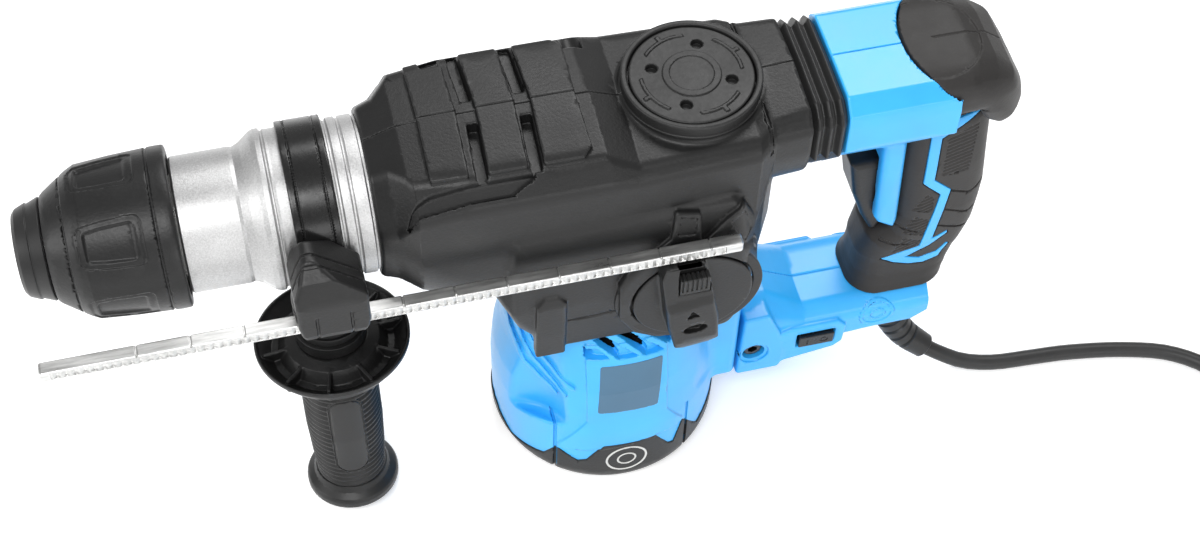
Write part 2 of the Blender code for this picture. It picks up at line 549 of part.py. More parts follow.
def gear_mesh(teeth, root, tip, z0, z1, centre):
    """Straight-sided spur gear: an outline of teeth, extruded."""
    pts = []
    for i in range(teeth):
        for frac, r in ((0.0, root), (0.18, tip), (0.42, tip), (0.60, root)):
            a = math.tau * (i + frac) / teeth
            pts.append((centre[0] + r * math.cos(a), centre[1] + r * math.sin(a)))
    return slab_mesh(pts, [(z0, 0), (z1, 0)], "XY")


def make_gears():
    pin = finish("motor_pinion", gear_mesh(8, 6.2, 7.6, 110, 124, (0, 0)), "steel")
    cut(pin, turned("cut_pinion", rod(100, 130, 5.1), None, 16, "Z", (0, 0, 0)))
    crank = finish("crank_gear", gear_mesh(28, 22.0, 23.5, 112, 119, (CRANK_X, 0)), "steel", (CRANK_X, 0, 0))
    hub = turned("add_crank_hub", [(108.6, 0), (108.6, 7), (119, 7), (119, 9), (150, 9), (150, 16), (156, 16),
                                   (156, 0)], None, 24, "Z", (CRANK_X, 0, 0))
    cut(crank, hub, op="UNION")
    turned("crank_pin", rod(156.3, AXIS_H - 4.4, 4.0), "steel", 16, "Z", (CRANK_X - CRANK_THROW, 0, 0))
    lay = finish("lay_gear", gear_mesh(26, 20.4, 22.0, 112, 119, (LAY_X, 0)), "steel", (LAY_X, 0, 0))
    cone = turned("add_lay_cone", [(112, 0), (112, 5), (119, 5), (119, 5), (140, 5), (141, 11.4), (147.4, 9.0),
                                   (147.4, 0)], None, 20, "Z", (LAY_X, 0, 0))
    cut(lay, cone, op="UNION")
    turned("bevel_gear", [(-49.6, 20.2), (-49.6, 27.6), (-47.2, 28.2), (-42.4, 26.0), (-42.4, 20.2)], "steel", 28)


def make_hammer():
    centre = (0, 0, AXIS_H)
    turned("impact_bolt", [(-184, 0), (-184, 4.9), (-176, 4.9), (-176, 7.9), (-160, 7.9), (-150.8, 7.9),
                           (-150.8, 0)], "steel", 20, "X", centre)
    turned("ram", rod(-146, -112, 13.3, 1.2), "steel", 24, "X", centre)
    piston = turned("piston", [(-92, 0), (-92, 13.3), (-36, 13.3), (-36, 9.0), (-78, 9.0), (-78, 0)], "steel", 24,
                    "X", centre)
    cut(piston, turned("cut_wrist", rod(-20, 20, 3.1), None, 16, "Z", (-70, 0, AXIS_H)))
    big_x = CRANK_X - CRANK_THROW
    rod_mesh = slab_mesh([(-70, -5.6), (-66, -5.8), (-50, -3.6), (10, -3.6), (16, -7), (22, -8.4), (28, -6),
                          (30.4, 0), (28, 6), (22, 8.4), (16, 7), (10, 3.6), (-50, 3.6), (-66, 5.8), (-70, 5.6),
                          (-74.6, 4.0), (-76.6, 0), (-74.6, -4.0)], [(AXIS_H - 4, 0), (AXIS_H + 4, 0)], "XY")
    conrod = finish("connecting_rod", rod_mesh, "steel", (-70, 0, AXIS_H))
    cut(conrod, turned("cut_big_end", rod(150, 200, 4.4), None, 20, "Z", (big_x, 0, 0)),
        turned("cut_small_end", rod(150, 200, 3.3), None, 16, "Z", (-70, 0, 0)))


# ---- mode dial ----
def make_dial():
    z = AXIS_H + DIAL_Z
    turned("dial_ring", [(-41.9, 22.0), (-41.9, 28.4), (-42.6, 29.6), (-43.8, 29.6), (-44.4, 29.0),
                                (-44.4, 25.3), (-43.2, 25.3), (-43.2, 22.0)], "black", 32, "Y", (DIAL_X, 0, z))
    dial = turned("mode_dial", [(-32.0, 0), (-32.0, 16), (-41.4, 16), (-41.4, 19.8), (-43.6, 19.8), (-43.6, 24.8),
                                (-45.4, 24.8), (-46.0, 24.0), (-46.0, 0)], "black", 32, "Y", (DIAL_X, 0, z))
    lever = [(-10.2, 20.5), (-8.0, 26.2), (6.0, 26.2), (9.4, 20.5), (10.2, 4), (9.8, -24), (6.6, -31), (-6.6, -31),
             (-9.8, -24), (-10.6, 4)]
    tilt = math.radians(8)
    pts = [(DIAL_X - 2.4 + x * math.cos(tilt) - y * math.sin(tilt), z - 1.0 + x * math.sin(tilt) + y * math.cos(tilt))
           for x, y in lever]
    bar = finish("add_lever", slab_mesh(pts, [(-45.6, 0), (-54.0, 0.6), (-56.4, 3.0)]), None)
    cut(dial, bar, op="UNION")
    pocket = box("cut_release", (DIAL_X - 9.0, -60, z + 10.6), (DIAL_X + 4.0, -50.2, z + 22.6))
    cut(dial, pocket)
    box("dial_release", (DIAL_X - 8.6, -55.4, z + 11.0), (DIAL_X + 3.6, -50.5, z + 17.0), "black",
        (DIAL_X - 2.4, -53, z + 14))


# ---- cord ----
def bezier(a, b, c, d, t):
    s = 1 - t
    return a * s ** 3 + b * 3 * s * s * t + c * 3 * s * t * t + d * t ** 3


def smooth_route(points, step):
    """Even points along one smooth curve through the route's own points (centripetal Catmull-Rom)."""
    pts = [Vector(p) for p in points]
    pts = [pts[0] * 2 - pts[1]] + pts + [pts[-1] * 2 - pts[-2]]
    fine = []
    for i in range(1, len(pts) - 2):
        p0, p1, p2, p3 = pts[i - 1:i + 3]
        d1, d2, d3 = ((b - a).length ** 0.5 for a, b in ((p0, p1), (p1, p2), (p2, p3)))
        m1 = (p1 - p0) / d1 - (p2 - p0) / (d1 + d2) + (p2 - p1) / d2
        m2 = (p2 - p1) / d2 - (p3 - p1) / (d2 + d3) + (p3 - p2) / d3
        m1, m2 = m1 * d2, m2 * d2
        fine += [bezier(p1, p1 + m1 / 3, p2 - m2 / 3, p2, k / 24) for k in range(24)]
    fine.append(pts[-2])
    total = sum((b - a).length for a, b in zip(fine, fine[1:]))
    count = max(2, round(total / step))
    out, want, run = [fine[0]], total / count, 0.0
    for a, b in zip(fine, fine[1:]):
        seg = (b - a).length
        while run + seg >= want - 1e-9 and len(out) < count:
            out.append(a.lerp(b, max(0.0, (want - run) / seg)))
            want += total / count
        run += seg
    return out + [fine[-1]]


def tube(name, points, radius, look, radii=None, sides=2):
    curve = bpy.data.curves.new(name, "CURVE")
    curve.dimensions = "3D"
    curve.bevel_depth = radius * MM
    curve.bevel_resolution = sides
    curve.use_fill_caps = True
    spline = curve.splines.new("POLY")
    spline.points.add(len(points) - 1)
    for i, (point, pos) in enumerate(zip(spline.points, points)):
        point.co = (*(pos * MM), 1.0)
        point.radius = radii[i] if radii else 1.0
    obj = bpy.data.objects.new(name, curve)
    bpy.context.scene.collection.objects.link(obj)
    own_material(obj, look)
    return obj


GUARD_ROUTE = [(127.0, -4.6, 47.5), (128.6, -6.0, 41.5), (132.6, -9.0, 31.0), (139.6, -13.4, 19.6),
               (149.4, -18.6, 12.0)]
CORD_ROUTE = [(150.0, -18.9, 11.7), (156.5, -22.0, 8.6), (166.0, -26.2, 5.4), (180.0, -29.6, 4.0), (199, -31.0, 3.9),
              (216, -32.2, 3.9), (244, -37.0, 3.9), (264, -43.8, 3.9), (278.6, -55.4, 3.9), (286.0, -71.0, 3.9),
              (288.2, -86.0, 3.9)]
COIL_C, COIL_R0, COIL_R1, COIL_H = (339.0, -92.0), 28.5, 45.0, 30.0


def make_cord():
    route = smooth_route(GUARD_ROUTE, 3.4)
    radii = [1.0 - 0.36 * i / (len(route) - 1) for i in range(len(route))]
    tube("cord_guard", route, 7.2, "rubber", radii, 3)
    tube("cord", smooth_route(CORD_ROUTE, 6.6), CORD_R, "rubber")
    rad = 3.5
    prof = [(0.3, COIL_R0 + rad), (0.3, COIL_R1 - rad), (0.3 + rad, COIL_R1), (COIL_H - rad, COIL_R1),
            (COIL_H, COIL_R1 - rad), (COIL_H, COIL_R0 + rad), (COIL_H - rad, COIL_R0), (0.3 + rad, COIL_R0)]
    turned("cord_coil", prof, "rubber", 32, "Z", (*COIL_C, 0))


def make_plug():
    """Moulded mains plug with two round pins, lying beside the coil."""
    x0, y0 = COIL_C[0] + 14.0, COIL_C[1] + 76.0
    prof = [(0, 0), (0, 4.2), (-3, 5.0), (-14, 6.2), (-20, 12.0), (-26, 17.6), (-34, 18.6), (-36, 17.6), (-36, 0)]
    bm = turned_mesh(prof, 24, "X", (x0, y0, 13.2))
    for v in bm.verts:
        v.co.z = 13.2 + (v.co.z - 13.2) * 0.70
    body = finish("plug_body", bm, "rubber", (x0, y0, 13.2))
    for side, name in ((-1, "plug_pin_a"), (1, "plug_pin_b")):
        y = y0 + side * 9.5
        turned(name, [(-30.4, 0), (-30.4, 2.4), (-53.6, 2.4), (-55, 1.4), (-55, 0)], "brass", 12, "X", (x0, y, 13.2))
        cut(body, turned("cut_" + name, rod(-40, -30, 2.7), None, 12, "X", (x0, y, 13.2)))


def main():
    wipe()
    make_nose()
    make_side_handle()
    make_depth_rod()
    housing_half("housing_near", -1)
    housing_half("housing_far", 1)
    make_grease_cap()
    make_bellows()
    handle_half("handle_near", -1)
    handle_half("handle_far", 1)
    make_rear_cap()
    make_grip_pad()
    make_trigger()
    make_rocker()
    make_pivot()
    make_motor_case()
    make_motor()
    make_gears()
    make_hammer()
    make_dial()
    make_cord()
    make_plug()


main()
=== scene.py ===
"""Looks for the electric rotary hammer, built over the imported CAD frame. Lengths here are in millimetres
and heights z are measured from the barrel's axis, until a mesh is made."""
import math

import bmesh
import bpy
import numpy as np
import openvdb
from mathutils import Matrix, Vector


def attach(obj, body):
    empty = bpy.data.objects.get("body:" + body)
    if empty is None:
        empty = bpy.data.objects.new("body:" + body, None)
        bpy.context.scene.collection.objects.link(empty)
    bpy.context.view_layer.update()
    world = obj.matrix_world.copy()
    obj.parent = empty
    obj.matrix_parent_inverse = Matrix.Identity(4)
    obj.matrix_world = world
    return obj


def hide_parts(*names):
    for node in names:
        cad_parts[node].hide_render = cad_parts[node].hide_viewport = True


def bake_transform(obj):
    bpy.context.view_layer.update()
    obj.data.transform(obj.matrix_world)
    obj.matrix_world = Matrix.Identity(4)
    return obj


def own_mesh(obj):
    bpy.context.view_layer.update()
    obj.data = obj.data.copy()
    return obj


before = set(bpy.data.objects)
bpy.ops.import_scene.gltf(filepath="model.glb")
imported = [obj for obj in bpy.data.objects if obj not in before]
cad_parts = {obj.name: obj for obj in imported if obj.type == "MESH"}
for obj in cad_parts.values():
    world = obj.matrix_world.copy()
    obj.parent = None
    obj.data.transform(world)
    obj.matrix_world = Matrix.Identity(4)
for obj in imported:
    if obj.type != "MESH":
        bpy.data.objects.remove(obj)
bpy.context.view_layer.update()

MM = 0.001
AXIS_H = 176.0
CLAMP_X = -118.6
SWING = math.radians(6.8)          # lean of the side handle
DIAL = (24.0, -45.0)               # dial centre (x, z)
GREASE_X = 31.0                    # grease cap centre
PIVOT_X, PIVOT_Z = 63.0, -132.5    # pivot screws of the rear handle
ROD_Y, ROD_Z = -48.0, -10.4        # depth rod's axis
FLAT = 0.02                        # how strongly meshing merges flat areas
BLOCK, BATCH = 8, 48               # cells per block, blocks per batch
F = np.float32


# ---- distance fields
def rmax(a, b, r=0.0):
    if r <= 0:
        return np.maximum(a, b)
    return np.minimum(-r, np.maximum(a, b)) + np.hypot(np.maximum(a + r, 0), np.maximum(b + r, 0))


def rmin(a, b, r=0.0):
    return -rmax(-a, -b, r)


def poly(u, v, pts, r=0.0):
    """Exact distance to a closed polygon, with corners rounded by r."""
    if r:
        pts = inset(pts, r)
    d = np.full(u.shape, 1e12, F)
    neg = np.zeros(u.shape, bool)
    for (ax, ay), (bx, by) in zip(pts, pts[1:] + pts[:1]):
        ex, ey = bx - ax, by - ay
        wx, wy = u - ax, v - ay
        t = np.clip((wx * ex + wy * ey) / (ex * ex + ey * ey + 1e-9), 0, 1)
        d = np.minimum(d, (wx - ex * t) ** 2 + (wy - ey * t) ** 2)
        c1, c2, c3 = v >= ay, v < by, ex * wy > ey * wx
        neg ^= (c1 & c2 & c3) | ~(c1 | c2 | c3)
    return np.sqrt(d) * np.where(neg, F(-1), F(1)) - r


def inset(pts, d):
    area = sum(a[0] * b[1] - b[0] * a[1] for a, b in zip(pts, pts[1:] + pts[:1]))
    sign = 1.0 if area > 0 else -1.0
    out = []
    for i, p in enumerate(pts):
        a, b, c = Vector(pts[i - 1]), Vector(p), Vector(pts[(i + 1) % len(pts)])
        u, w = (b - a).normalized(), (c - b).normalized()
        n1, n2 = Vector((-u.y, u.x)) * sign, Vector((-w.y, w.x)) * sign
        bis = (n1 + n2).normalized()
        q = b + bis * (d / max(0.35, bis.dot(n1)))
        out.append((q.x, q.y))
    return out


def line(u, v, pts):
    """Distance to an open run of straight lines."""
    d = np.full(u.shape, 1e12, F)
    for (ax, ay), (bx, by) in zip(pts, pts[1:]):
        ex, ey = bx - ax, by - ay
        t = np.clip(((u - ax) * ex + (v - ay) * ey) / (ex * ex + ey * ey), 0, 1)
        d = np.minimum(d, (u - ax - ex * t) ** 2 + (v - ay - ey * t) ** 2)
    return np.sqrt(d)


def slab(v, lo, hi):
    return np.abs(v - (lo + hi) / 2) - (hi - lo) / 2


def carve(d, region, depth, r=0.0):
    """Sink the skin of d by depth inside a region."""
    return rmax(d, rmin(-region, d + depth, r), r)


def lift(d, region, height, r=0.3):
    """Raise the skin of d by height inside a region."""
    return rmin(d, rmax(d - height, region, r), min(r, 0.4))


def table(x, xs, ys):
    return np.interp(x, xs, ys).astype(F)


# ---- meshing
def add(name, data):
    obj = bpy.data.objects.new(name, data)
    bpy.context.scene.collection.objects.link(obj)
    return obj


def mesh_field(name, field, lo, hi, step=0.6, turn=None, adapt=0.0):
    """Mesh a distance field given in millimetres, with normals from the field itself."""
    size = BLOCK
    first = np.floor(np.array(lo) / step).astype(int) - 2
    count = np.ceil((np.array(hi) / step - first) / size).astype(int) + 1
    centre = [((first[k] + size * np.arange(count[k]) + (size - 1) / 2) * step).astype(F) for k in range(3)]
    cx, cy, cz = (g.ravel() for g in np.meshgrid(*centre, indexing="ij"))
    coarse = field(cx, cy, cz)
    band = F(3 * step)
    vol = np.where(coarse.reshape(count) < 0, -band, band).astype(F)
    for axis in range(3):
        vol = np.repeat(vol, size, axis)
    six = vol.reshape(count[0], size, count[1], size, count[2], size)
    active = np.nonzero(np.abs(coarse) < size * step * 1.15)[0]
    off = (np.arange(size) * step).astype(F)
    ox, oy, oz = (g.ravel() for g in np.meshgrid(off, off, off, indexing="ij"))
    bi, bj, bk = np.unravel_index(active, count)
    half = F((size - 1) / 2 * step)
    for s in range(0, len(active), BATCH):
        e = slice(s, s + BATCH)
        a = active[e]
        x = (cx[a][:, None] - half + ox).ravel()
        y = (cy[a][:, None] - half + oy).ravel()
        z = (cz[a][:, None] - half + oz).ravel()
        d = np.clip(field(x, y, z), -band, band)
        six[bi[e], :, bj[e], :, bk[e], :] = d.reshape(-1, size, size, size)
    grid = openvdb.FloatGrid(float(band))
    grid.copyFromArray(vol)
    pts, tris, quads = grid.convertToPolygons(0.0, adapt)
    p = ((pts + first) * step).astype(F)
    eps = F(0.25 * step)

    def slope(q):
        g = []
        for k in range(3):
            ahead, back = q.copy(), q.copy()
            ahead[:, k] += eps
            back[:, k] -= eps
            g.append((field(*ahead.T) - field(*back.T)) / (2 * eps))
        return np.stack(g, 1)

    for _ in range(2):
        d, g = field(*p.T), slope(p)
        n2 = np.maximum((g * g).sum(1), 0.05)
        p -= g * np.clip(d / n2, -0.5 * step, 0.5 * step)[:, None]
    normal = slope(p)
    normal /= np.maximum(np.linalg.norm(normal, axis=1), 1e-6)[:, None]
    faces = [tuple(f) for f in quads.tolist()] + [tuple(f) for f in tris.tolist()]
    probe = faces[:: max(1, len(faces) // 400)]
    vote = 0.0
    for f in probe:
        a, b, c = p[f[0]], p[f[1]], p[f[2]]
        vote += float(np.sign(np.dot(np.cross(b - a, c - a), normal[f[0]])))
    if vote < 0:
        faces = [f[::-1] for f in faces]
    p = p.astype(float)
    p[:, 2] += AXIS_H
    mesh = bpy.data.meshes.new(name)
    mesh.from_pydata((p * MM).tolist(), [], faces)
    mesh.validate()
    mesh.shade_smooth()
    if turn is not None:
        mesh.transform(turn)
        normal = normal @ np.array(turn.to_3x3()).T
    if len(mesh.vertices) == len(normal):
        mesh.normals_split_custom_set_from_vertices(normal.tolist())
    return add(name, mesh)


def fillet(profile, r, n=5):
    """Round the corners of a closed outline of (t, r) points; corners on the axis stay."""
    out = []
    for i, p in enumerate(profile):
        a, b, c = Vector(profile[i - 1]), Vector(p), Vector(profile[(i + 1) % len(profile)])
        u, w = a - b, c - b
        lim = min(u.length, w.length) * 0.45
        ang = u.angle(w, math.pi)
        if b.y < 1e-6 or lim < 1e-3 or ang > 2.95:
            out.append((b.x, b.y))
            continue
        t = min(lim, r / math.tan(ang / 2))
        p0, p1 = b + u.normalized() * t, b + w.normalized() * t
        for k in range(n + 1):
            s = k / n
            q = p0 * (1 - s) ** 2 + b * 2 * s * (1 - s) + p1 * s * s
            out.append((q.x, q.y))
    return out


def lathe(name, profile, axis="X", centre=(0, 0, 0), r=0.5, steps=96, turn=None):
    """Turned piece from a closed (t, r) outline, corners rounded by r."""
    prof = fillet(profile, r) if r else profile
    steps = steps
    verts, faces, idx = [], [], []
    for t, rad in prof:
        if rad < 1e-6:
            idx.append([len(verts)] * steps)
            verts.append((0, 0, t))
        else:
            base = len(verts)
            idx.append([base + k for k in range(steps)])
            for k in range(steps):
                a = math.tau * k / steps
                verts.append((rad * math.cos(a), rad * math.sin(a), t))
    n = len(prof)
    for i in range(n):
        j = (i + 1) % n
        if prof[i][1] < 1e-6 and prof[j][1] < 1e-6:
            continue
        for k in range(steps):
            m = (k + 1) % steps
            f = []
            for v in (idx[i][k], idx[i][m], idx[j][m], idx[j][k]):
                if v not in f:
                    f.append(v)
            if len(f) > 2:
                faces.append(f)
    rot = Matrix(((0, 0, 1), (0, 1, 0), (-1, 0, 0))) if axis == "X" else Matrix.Identity(3)
    c = Vector((centre[0], centre[1], centre[2] + AXIS_H))
    out = [(rot @ Vector(v) + c) * MM for v in verts]
    mesh = bpy.data.meshes.new(name)
    mesh.from_pydata(out, [], faces)
    mesh.validate()
    bm = bmesh.new()
    bm.from_mesh(mesh)
    bmesh.ops.recalc_face_normals(bm, faces=bm.faces)
    bm.to_mesh(mesh)
    bm.free()
    mesh.shade_smooth()
    mesh.set_sharp_from_angle(angle=math.radians(38))
    if turn is not None:
        mesh.transform(turn)
    return add(name, mesh)


pivot = Matrix.Translation(Vector((0, 0, AXIS_H * MM)))
SWUNG = pivot @ Matrix.Rotation(-SWING, 4, "X") @ pivot.inverted()


# ---- materials
class Shade:
    """A principled material with a few helpers for its nodes."""

    def __init__(self, name, colour, rough, metal=0.0):
        self.mat = bpy.data.materials.new(name)
        self.mat.use_nodes = True
        self.tree = self.mat.node_tree
        self.bsdf = self.tree.nodes["Principled BSDF"]
        self.set("Base Color", (*colour, 1))
        self.set("Roughness", rough)
        self.set("Metallic", metal)
        self.coord = self.node("TexCoord").outputs["Object"]

    def set(self, key, value):
        self.bsdf.inputs[key].default_value = value

    def node(self, kind, **values):
        node = self.tree.nodes.new("ShaderNode" + kind)
        for key, value in values.items():
            node.inputs[key.replace("_", " ")].default_value = value
        return node

    def join(self, a, b):
        self.tree.links.new(a, b)

    def noise(self, scale, detail=3.0, rough=0.55, stretch=None):
        node = self.node("TexNoise", Scale=scale, Detail=detail, Roughness=rough)
        src = self.coord
        if stretch:
            mapping = self.node("Mapping", Scale=stretch)
            self.join(src, mapping.inputs["Vector"])
            src = mapping.outputs["Vector"]
        self.join(src, node.inputs["Vector"])
        return node.outputs["Fac"]

    def ramp(self, src, lo, hi, a=0.0, b=1.0):
        node = self.node("MapRange", From_Min=lo, From_Max=hi, To_Min=a, To_Max=b)
        self.join(src, node.inputs["Value"])
        return node.outputs["Result"]

    def mix(self, fac, a, b):
        node = self.node("Mix")
        node.data_type = "RGBA"
        for sock, val in ((node.inputs[6], a), (node.inputs[7], b)):
            if isinstance(val, tuple):
                sock.default_value = (*val[:3], 1)
            else:
                self.join(val, sock)
        if isinstance(fac, float):
            node.inputs[0].default_value = fac
        else:
            self.join(fac, node.inputs[0])
        return node.outputs[2]

    def math(self, op, a, b=0.0):
        node = self.node("Math")
        node.operation = op
        for sock, val in zip(node.inputs, (a, b)):
            if isinstance(val, (int, float)):
                sock.default_value = val
            else:
                self.join(val, sock)
        return node.outputs[0]

    def bump(self, src, distance, strength):
        node = self.node("Bump", Distance=distance, Strength=strength)
        self.join(src, node.inputs["Height"])
        return node.outputs["Normal"]

    def edge(self, lo=0.52, hi=0.60):
        return self.ramp(self.node("NewGeometry").outputs["Pointiness"], lo, hi)

    def finish(self, colour=None, rough=None, normal=None):
        for key, src in (("Base Color", colour), ("Roughness", rough), ("Normal", normal)):
            if src is not None:
                self.join(src, self.bsdf.inputs[key])
        return self.mat


def scaled(c, k):
    return tuple(min(1.0, v * k) for v in c)


def plastic(name, colour, rough, grain=900.0, depth=0.00006, wear=1.5, dust=0.0, coat=0.0):
    """Moulded plastic: spark-eroded grain, slightly uneven sheen, paler worn edges."""
    s = Shade(name, colour, rough)
    fine = s.noise(grain, 2.0, 0.6)
    broad = s.noise(38.0, 3.0)
    base = s.mix(s.ramp(broad, 0.3, 0.7), scaled(colour, 0.93), scaled(colour, 1.07))
    base = s.mix(s.math("MULTIPLY", s.edge(), s.ramp(s.noise(160.0, 3.0), 0.35, 0.65, 0.25, 1.0)), base,
        tuple(min(1.0, v * wear + 0.01) for v in colour))
    if dust:
        base = s.mix(s.ramp(s.noise(420.0, 5.0, 0.7), 0.55, 0.8, 0.0, dust), base, (0.32, 0.31, 0.30))
    rgh = s.math("ADD", s.ramp(broad, 0.3, 0.7, rough - 0.04, rough + 0.05),
        s.ramp(fine, 0.3, 0.7, -0.03, 0.03))
    if max(colour) < 0.1:
        s.set("Specular IOR Level", 0.34)
    if coat:
        s.set("Coat Weight", coat)
        s.set("Coat Roughness", 0.25)
    return s.finish(base, rgh, s.bump(fine, depth, 0.8))


def rubber(name, colour, rough=0.75, grain=700.0, depth=0.00008):
    """Soft overmould: dull, faintly mottled, with a fine leathery grain."""
    s = Shade(name, colour, rough)
    fine = s.noise(grain, 4.0, 0.65)
    broad = s.noise(55.0, 4.0)
    base = s.mix(s.ramp(broad, 0.3, 0.7), scaled(colour, 0.85), scaled(colour, 1.15))
    base = s.mix(s.ramp(fine, 0.55, 0.75, 0.0, 0.35), base, scaled(colour, 1.9))
    s.set("Specular IOR Level", 0.36)
    s.set("Sheen Weight", 0.05)
    s.set("Sheen Roughness", 0.5)
    return s.finish(base, s.ramp(broad, 0.3, 0.7, rough - 0.06, rough + 0.06), s.bump(fine, depth, 0.9))


def metal(name, colour, rough, grain=500.0, depth=0.00003, stretch=None, spots=0.25, wear=1.15):
    """Bare metal: machining or blast grain, patchy sheen and brighter edges."""
    s = Shade(name, colour, rough, 1.0)
    fine = s.noise(grain, 4.0, 0.7, stretch)
    broad = s.noise(70.0, 4.0)
    base = s.mix(s.ramp(fine, 0.35, 0.65), scaled(colour, 1 - spots), scaled(colour, 1 + spots * 0.5))
    base = s.mix(s.edge(0.53, 0.62), base, scaled(colour, wear))
    rgh = s.math("ADD", s.ramp(broad, 0.3, 0.7, rough - 0.06, rough + 0.08),
        s.ramp(fine, 0.3, 0.7, -0.05, 0.05))
    return s.finish(base, rgh, s.bump(fine, depth, 0.7))


BLACK = plastic("black_plastic", (0.0085, 0.0085, 0.0086), 0.40, 850.0, 0.00009, 3.0, 0.012)
DARK = plastic("dark_plastic", (0.009, 0.009, 0.009), 0.24, 700.0, 0.00002, 1.8)
GREY = plastic("grey_plastic", (0.016, 0.016, 0.016), 0.46, 650.0, 0.00009, 2.0, 0.02)
BLUE = plastic("blue_plastic", (0.028, 0.395, 0.87), 0.36, 1100.0, 0.00002, 1.10, 0.0, 0.25)
SOFT = rubber("soft_grip", (0.017, 0.0155, 0.0148), 0.55, 650.0, 0.0001)
RUBBER = rubber("moulded_rubber", (0.012, 0.012, 0.012), 0.42, 800.0, 0.00004)
CORD = rubber("cord_rubber", (0.020, 0.020, 0.020), 0.46, 500.0, 0.00004)
CAST = metal("cast_aluminium", (0.56, 0.56, 0.56), 0.46, 1500.0, 0.00014, None, 0.20)
STEEL = metal("machined_steel", (0.48, 0.48, 0.47), 0.30, 400.0, 0.00002, (0.15, 1, 1), 0.22)
ZINC = metal("zinc_rod", (0.66, 0.66, 0.65), 0.34, 500.0, 0.00002, (0.1, 1, 1), 0.25)
DARK_STEEL = metal("black_oxide", (0.09, 0.09, 0.09), 0.38, 600.0, 0.00003, None, 0.25, 2.0)
BRASS = metal("brass_pins", (0.78, 0.60, 0.32), 0.28, 500.0, 0.00001, (0.1, 1, 1), 0.12)
COPPER = metal("copper_bars", (0.70, 0.33, 0.17), 0.36, 600.0, 0.00003, (1, 1, 0.1), 0.2)
CARBON = plastic("carbon_brush", (0.035, 0.035, 0.04), 0.62, 900.0, 0.0001, 1.6)
LABEL = plastic("label_film", (0.045, 0.13, 0.22), 0.34, 300.0, 0.00001, 1.1)
WHITE = plastic("badge_face", (0.62, 0.62, 0.60), 0.45, 700.0, 0.00004, 1.05)


def dress(obj, mat):
    obj.data.materials.clear()
    obj.data.materials.append(mat)
    return obj


def place(obj, body, slot, mat, *nodes):
    dress(obj, mat)
    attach(obj, body)
    if nodes:
        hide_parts(*nodes)
    return obj


def piece(name, field, lo, hi, step, body, slot, mat, *nodes, turn=None, adapt=0.0):
    return place(mesh_field(name, field, lo, hi, step, turn, adapt), body, slot, mat, *nodes)


# ---- camera, floor, light
FLOOR_GLOW, WORLD_LIGHT = 0.30, 0.47
cam_data = bpy.data.cameras.new("photo_camera")
cam_data.lens = 62.5
cam_data.sensor_width = 36.0
cam_data.clip_start = 0.01
cam = add("photo_camera", cam_data)
RIGHT, UP, BACK = (0.97109, -0.23779, 0.02136), (0.18225, 0.79614, 0.57702), (-0.15421, -0.55644, 0.81645)
cam.matrix_world = Matrix(((RIGHT[0], UP[0], BACK[0], -0.13945), (RIGHT[1], UP[1], BACK[1], -0.49509),
    (RIGHT[2], UP[2], BACK[2], 0.81465), (0, 0, 0, 1)))
bpy.context.scene.camera = cam
bpy.context.scene.view_settings.view_transform = "Standard"

floor_mesh = bpy.data.meshes.new("floor")
floor_mesh.from_pydata([(-30, -30, 0), (30, -30, 0), (30, 30, 0), (-30, 30, 0)], [], [(0, 1, 2, 3)])
floor = add("floor", floor_mesh)
floor_look = Shade("floor_paper", (0.93, 0.93, 0.93), 0.9)
floor_look.set("Emission Color", (1, 1, 1, 1))
floor_look.set("Emission Strength", FLOOR_GLOW)
floor_look.set("Specular IOR Level", 0.1)
dress(floor,
    floor_look.finish(floor_look.mix(floor_look.noise(3.0), (0.925, 0.925, 0.925), (0.94, 0.94, 0.94))))

world = bpy.data.worlds.new("studio")
bpy.context.scene.world = world
world.use_nodes = True
sky = world.node_tree.nodes["Background"].inputs
sky["Color"].default_value = (1.0, 1.0, 1.0, 1)
sky["Strength"].default_value = WORLD_LIGHT


def area(name, where, aim, size, power):
    data = bpy.data.lights.new(name, "AREA")
    data.shape = "RECTANGLE"
    data.size, data.size_y = size
    data.energy = power
    obj = add(name, data)
    obj.location = where
    obj.rotation_euler = (Vector(aim) - Vector(where)).to_track_quat("-Z", "Y").to_euler()


area("key", (-0.45, -0.9, 1.75), (0, 0, 0.12), (0.9, 0.6), 20.0)
area("top", (0.5, 0.9, 1.5), (0, 0, 0.15), (1.2, 0.5), 16.0)
area("side", (-1.6, -0.2, 0.7), (0, 0, 0.15), (0.6, 0.8), 9.0)
area("front", (0.3, -1.8, 0.6), (0, 0, 0.1), (1.4, 0.5), 9.0)


# ---- cord
def bezier(a, b, c, d, t):
    s = 1 - t
    return a * s ** 3 + b * 3 * s * s * t + c * 3 * s * t * t + d * t ** 3


def catmull(points, per=24):
    pts = [Vector(p) for p in points]
    pts = [pts[0] * 2 - pts[1]] + pts + [pts[-1] * 2 - pts[-2]]
    fine = []
    for i in range(1, len(pts) - 2):
        p0, p1, p2, p3 = pts[i - 1:i + 3]
        d1, d2, d3 = ((b - a).length ** 0.5 for a, b in ((p0, p1), (p1, p2), (p2, p3)))
        m1 = ((p1 - p0) / d1 - (p2 - p0) / (d1 + d2) + (p2 - p1) / d2) * d2
        m2 = ((p2 - p1) / d2 - (p3 - p1) / (d2 + d3) + (p3 - p2) / d3) * d2
        fine += [bezier(p1, p1 + m1 / 3, p2 - m2 / 3, p2, k / per) for k in range(per)]
    return fine + [pts[-2]]


def evenly(fine, step):
    total = sum((b - a).length for a, b in zip(fine, fine[1:]))
    count = max(2, round(total / step))
    out, want, run = [fine[0]], total / count, 0.0
    for a, b in zip(fine, fine[1:]):
        seg = (b - a).length
        while run + seg >= want - 1e-9 and len(out) < count:
            out.append(a.lerp(b, max(0.0, (want - run) / seg)))
            want += total / count
        run += seg
    return out + [fine[-1]], total


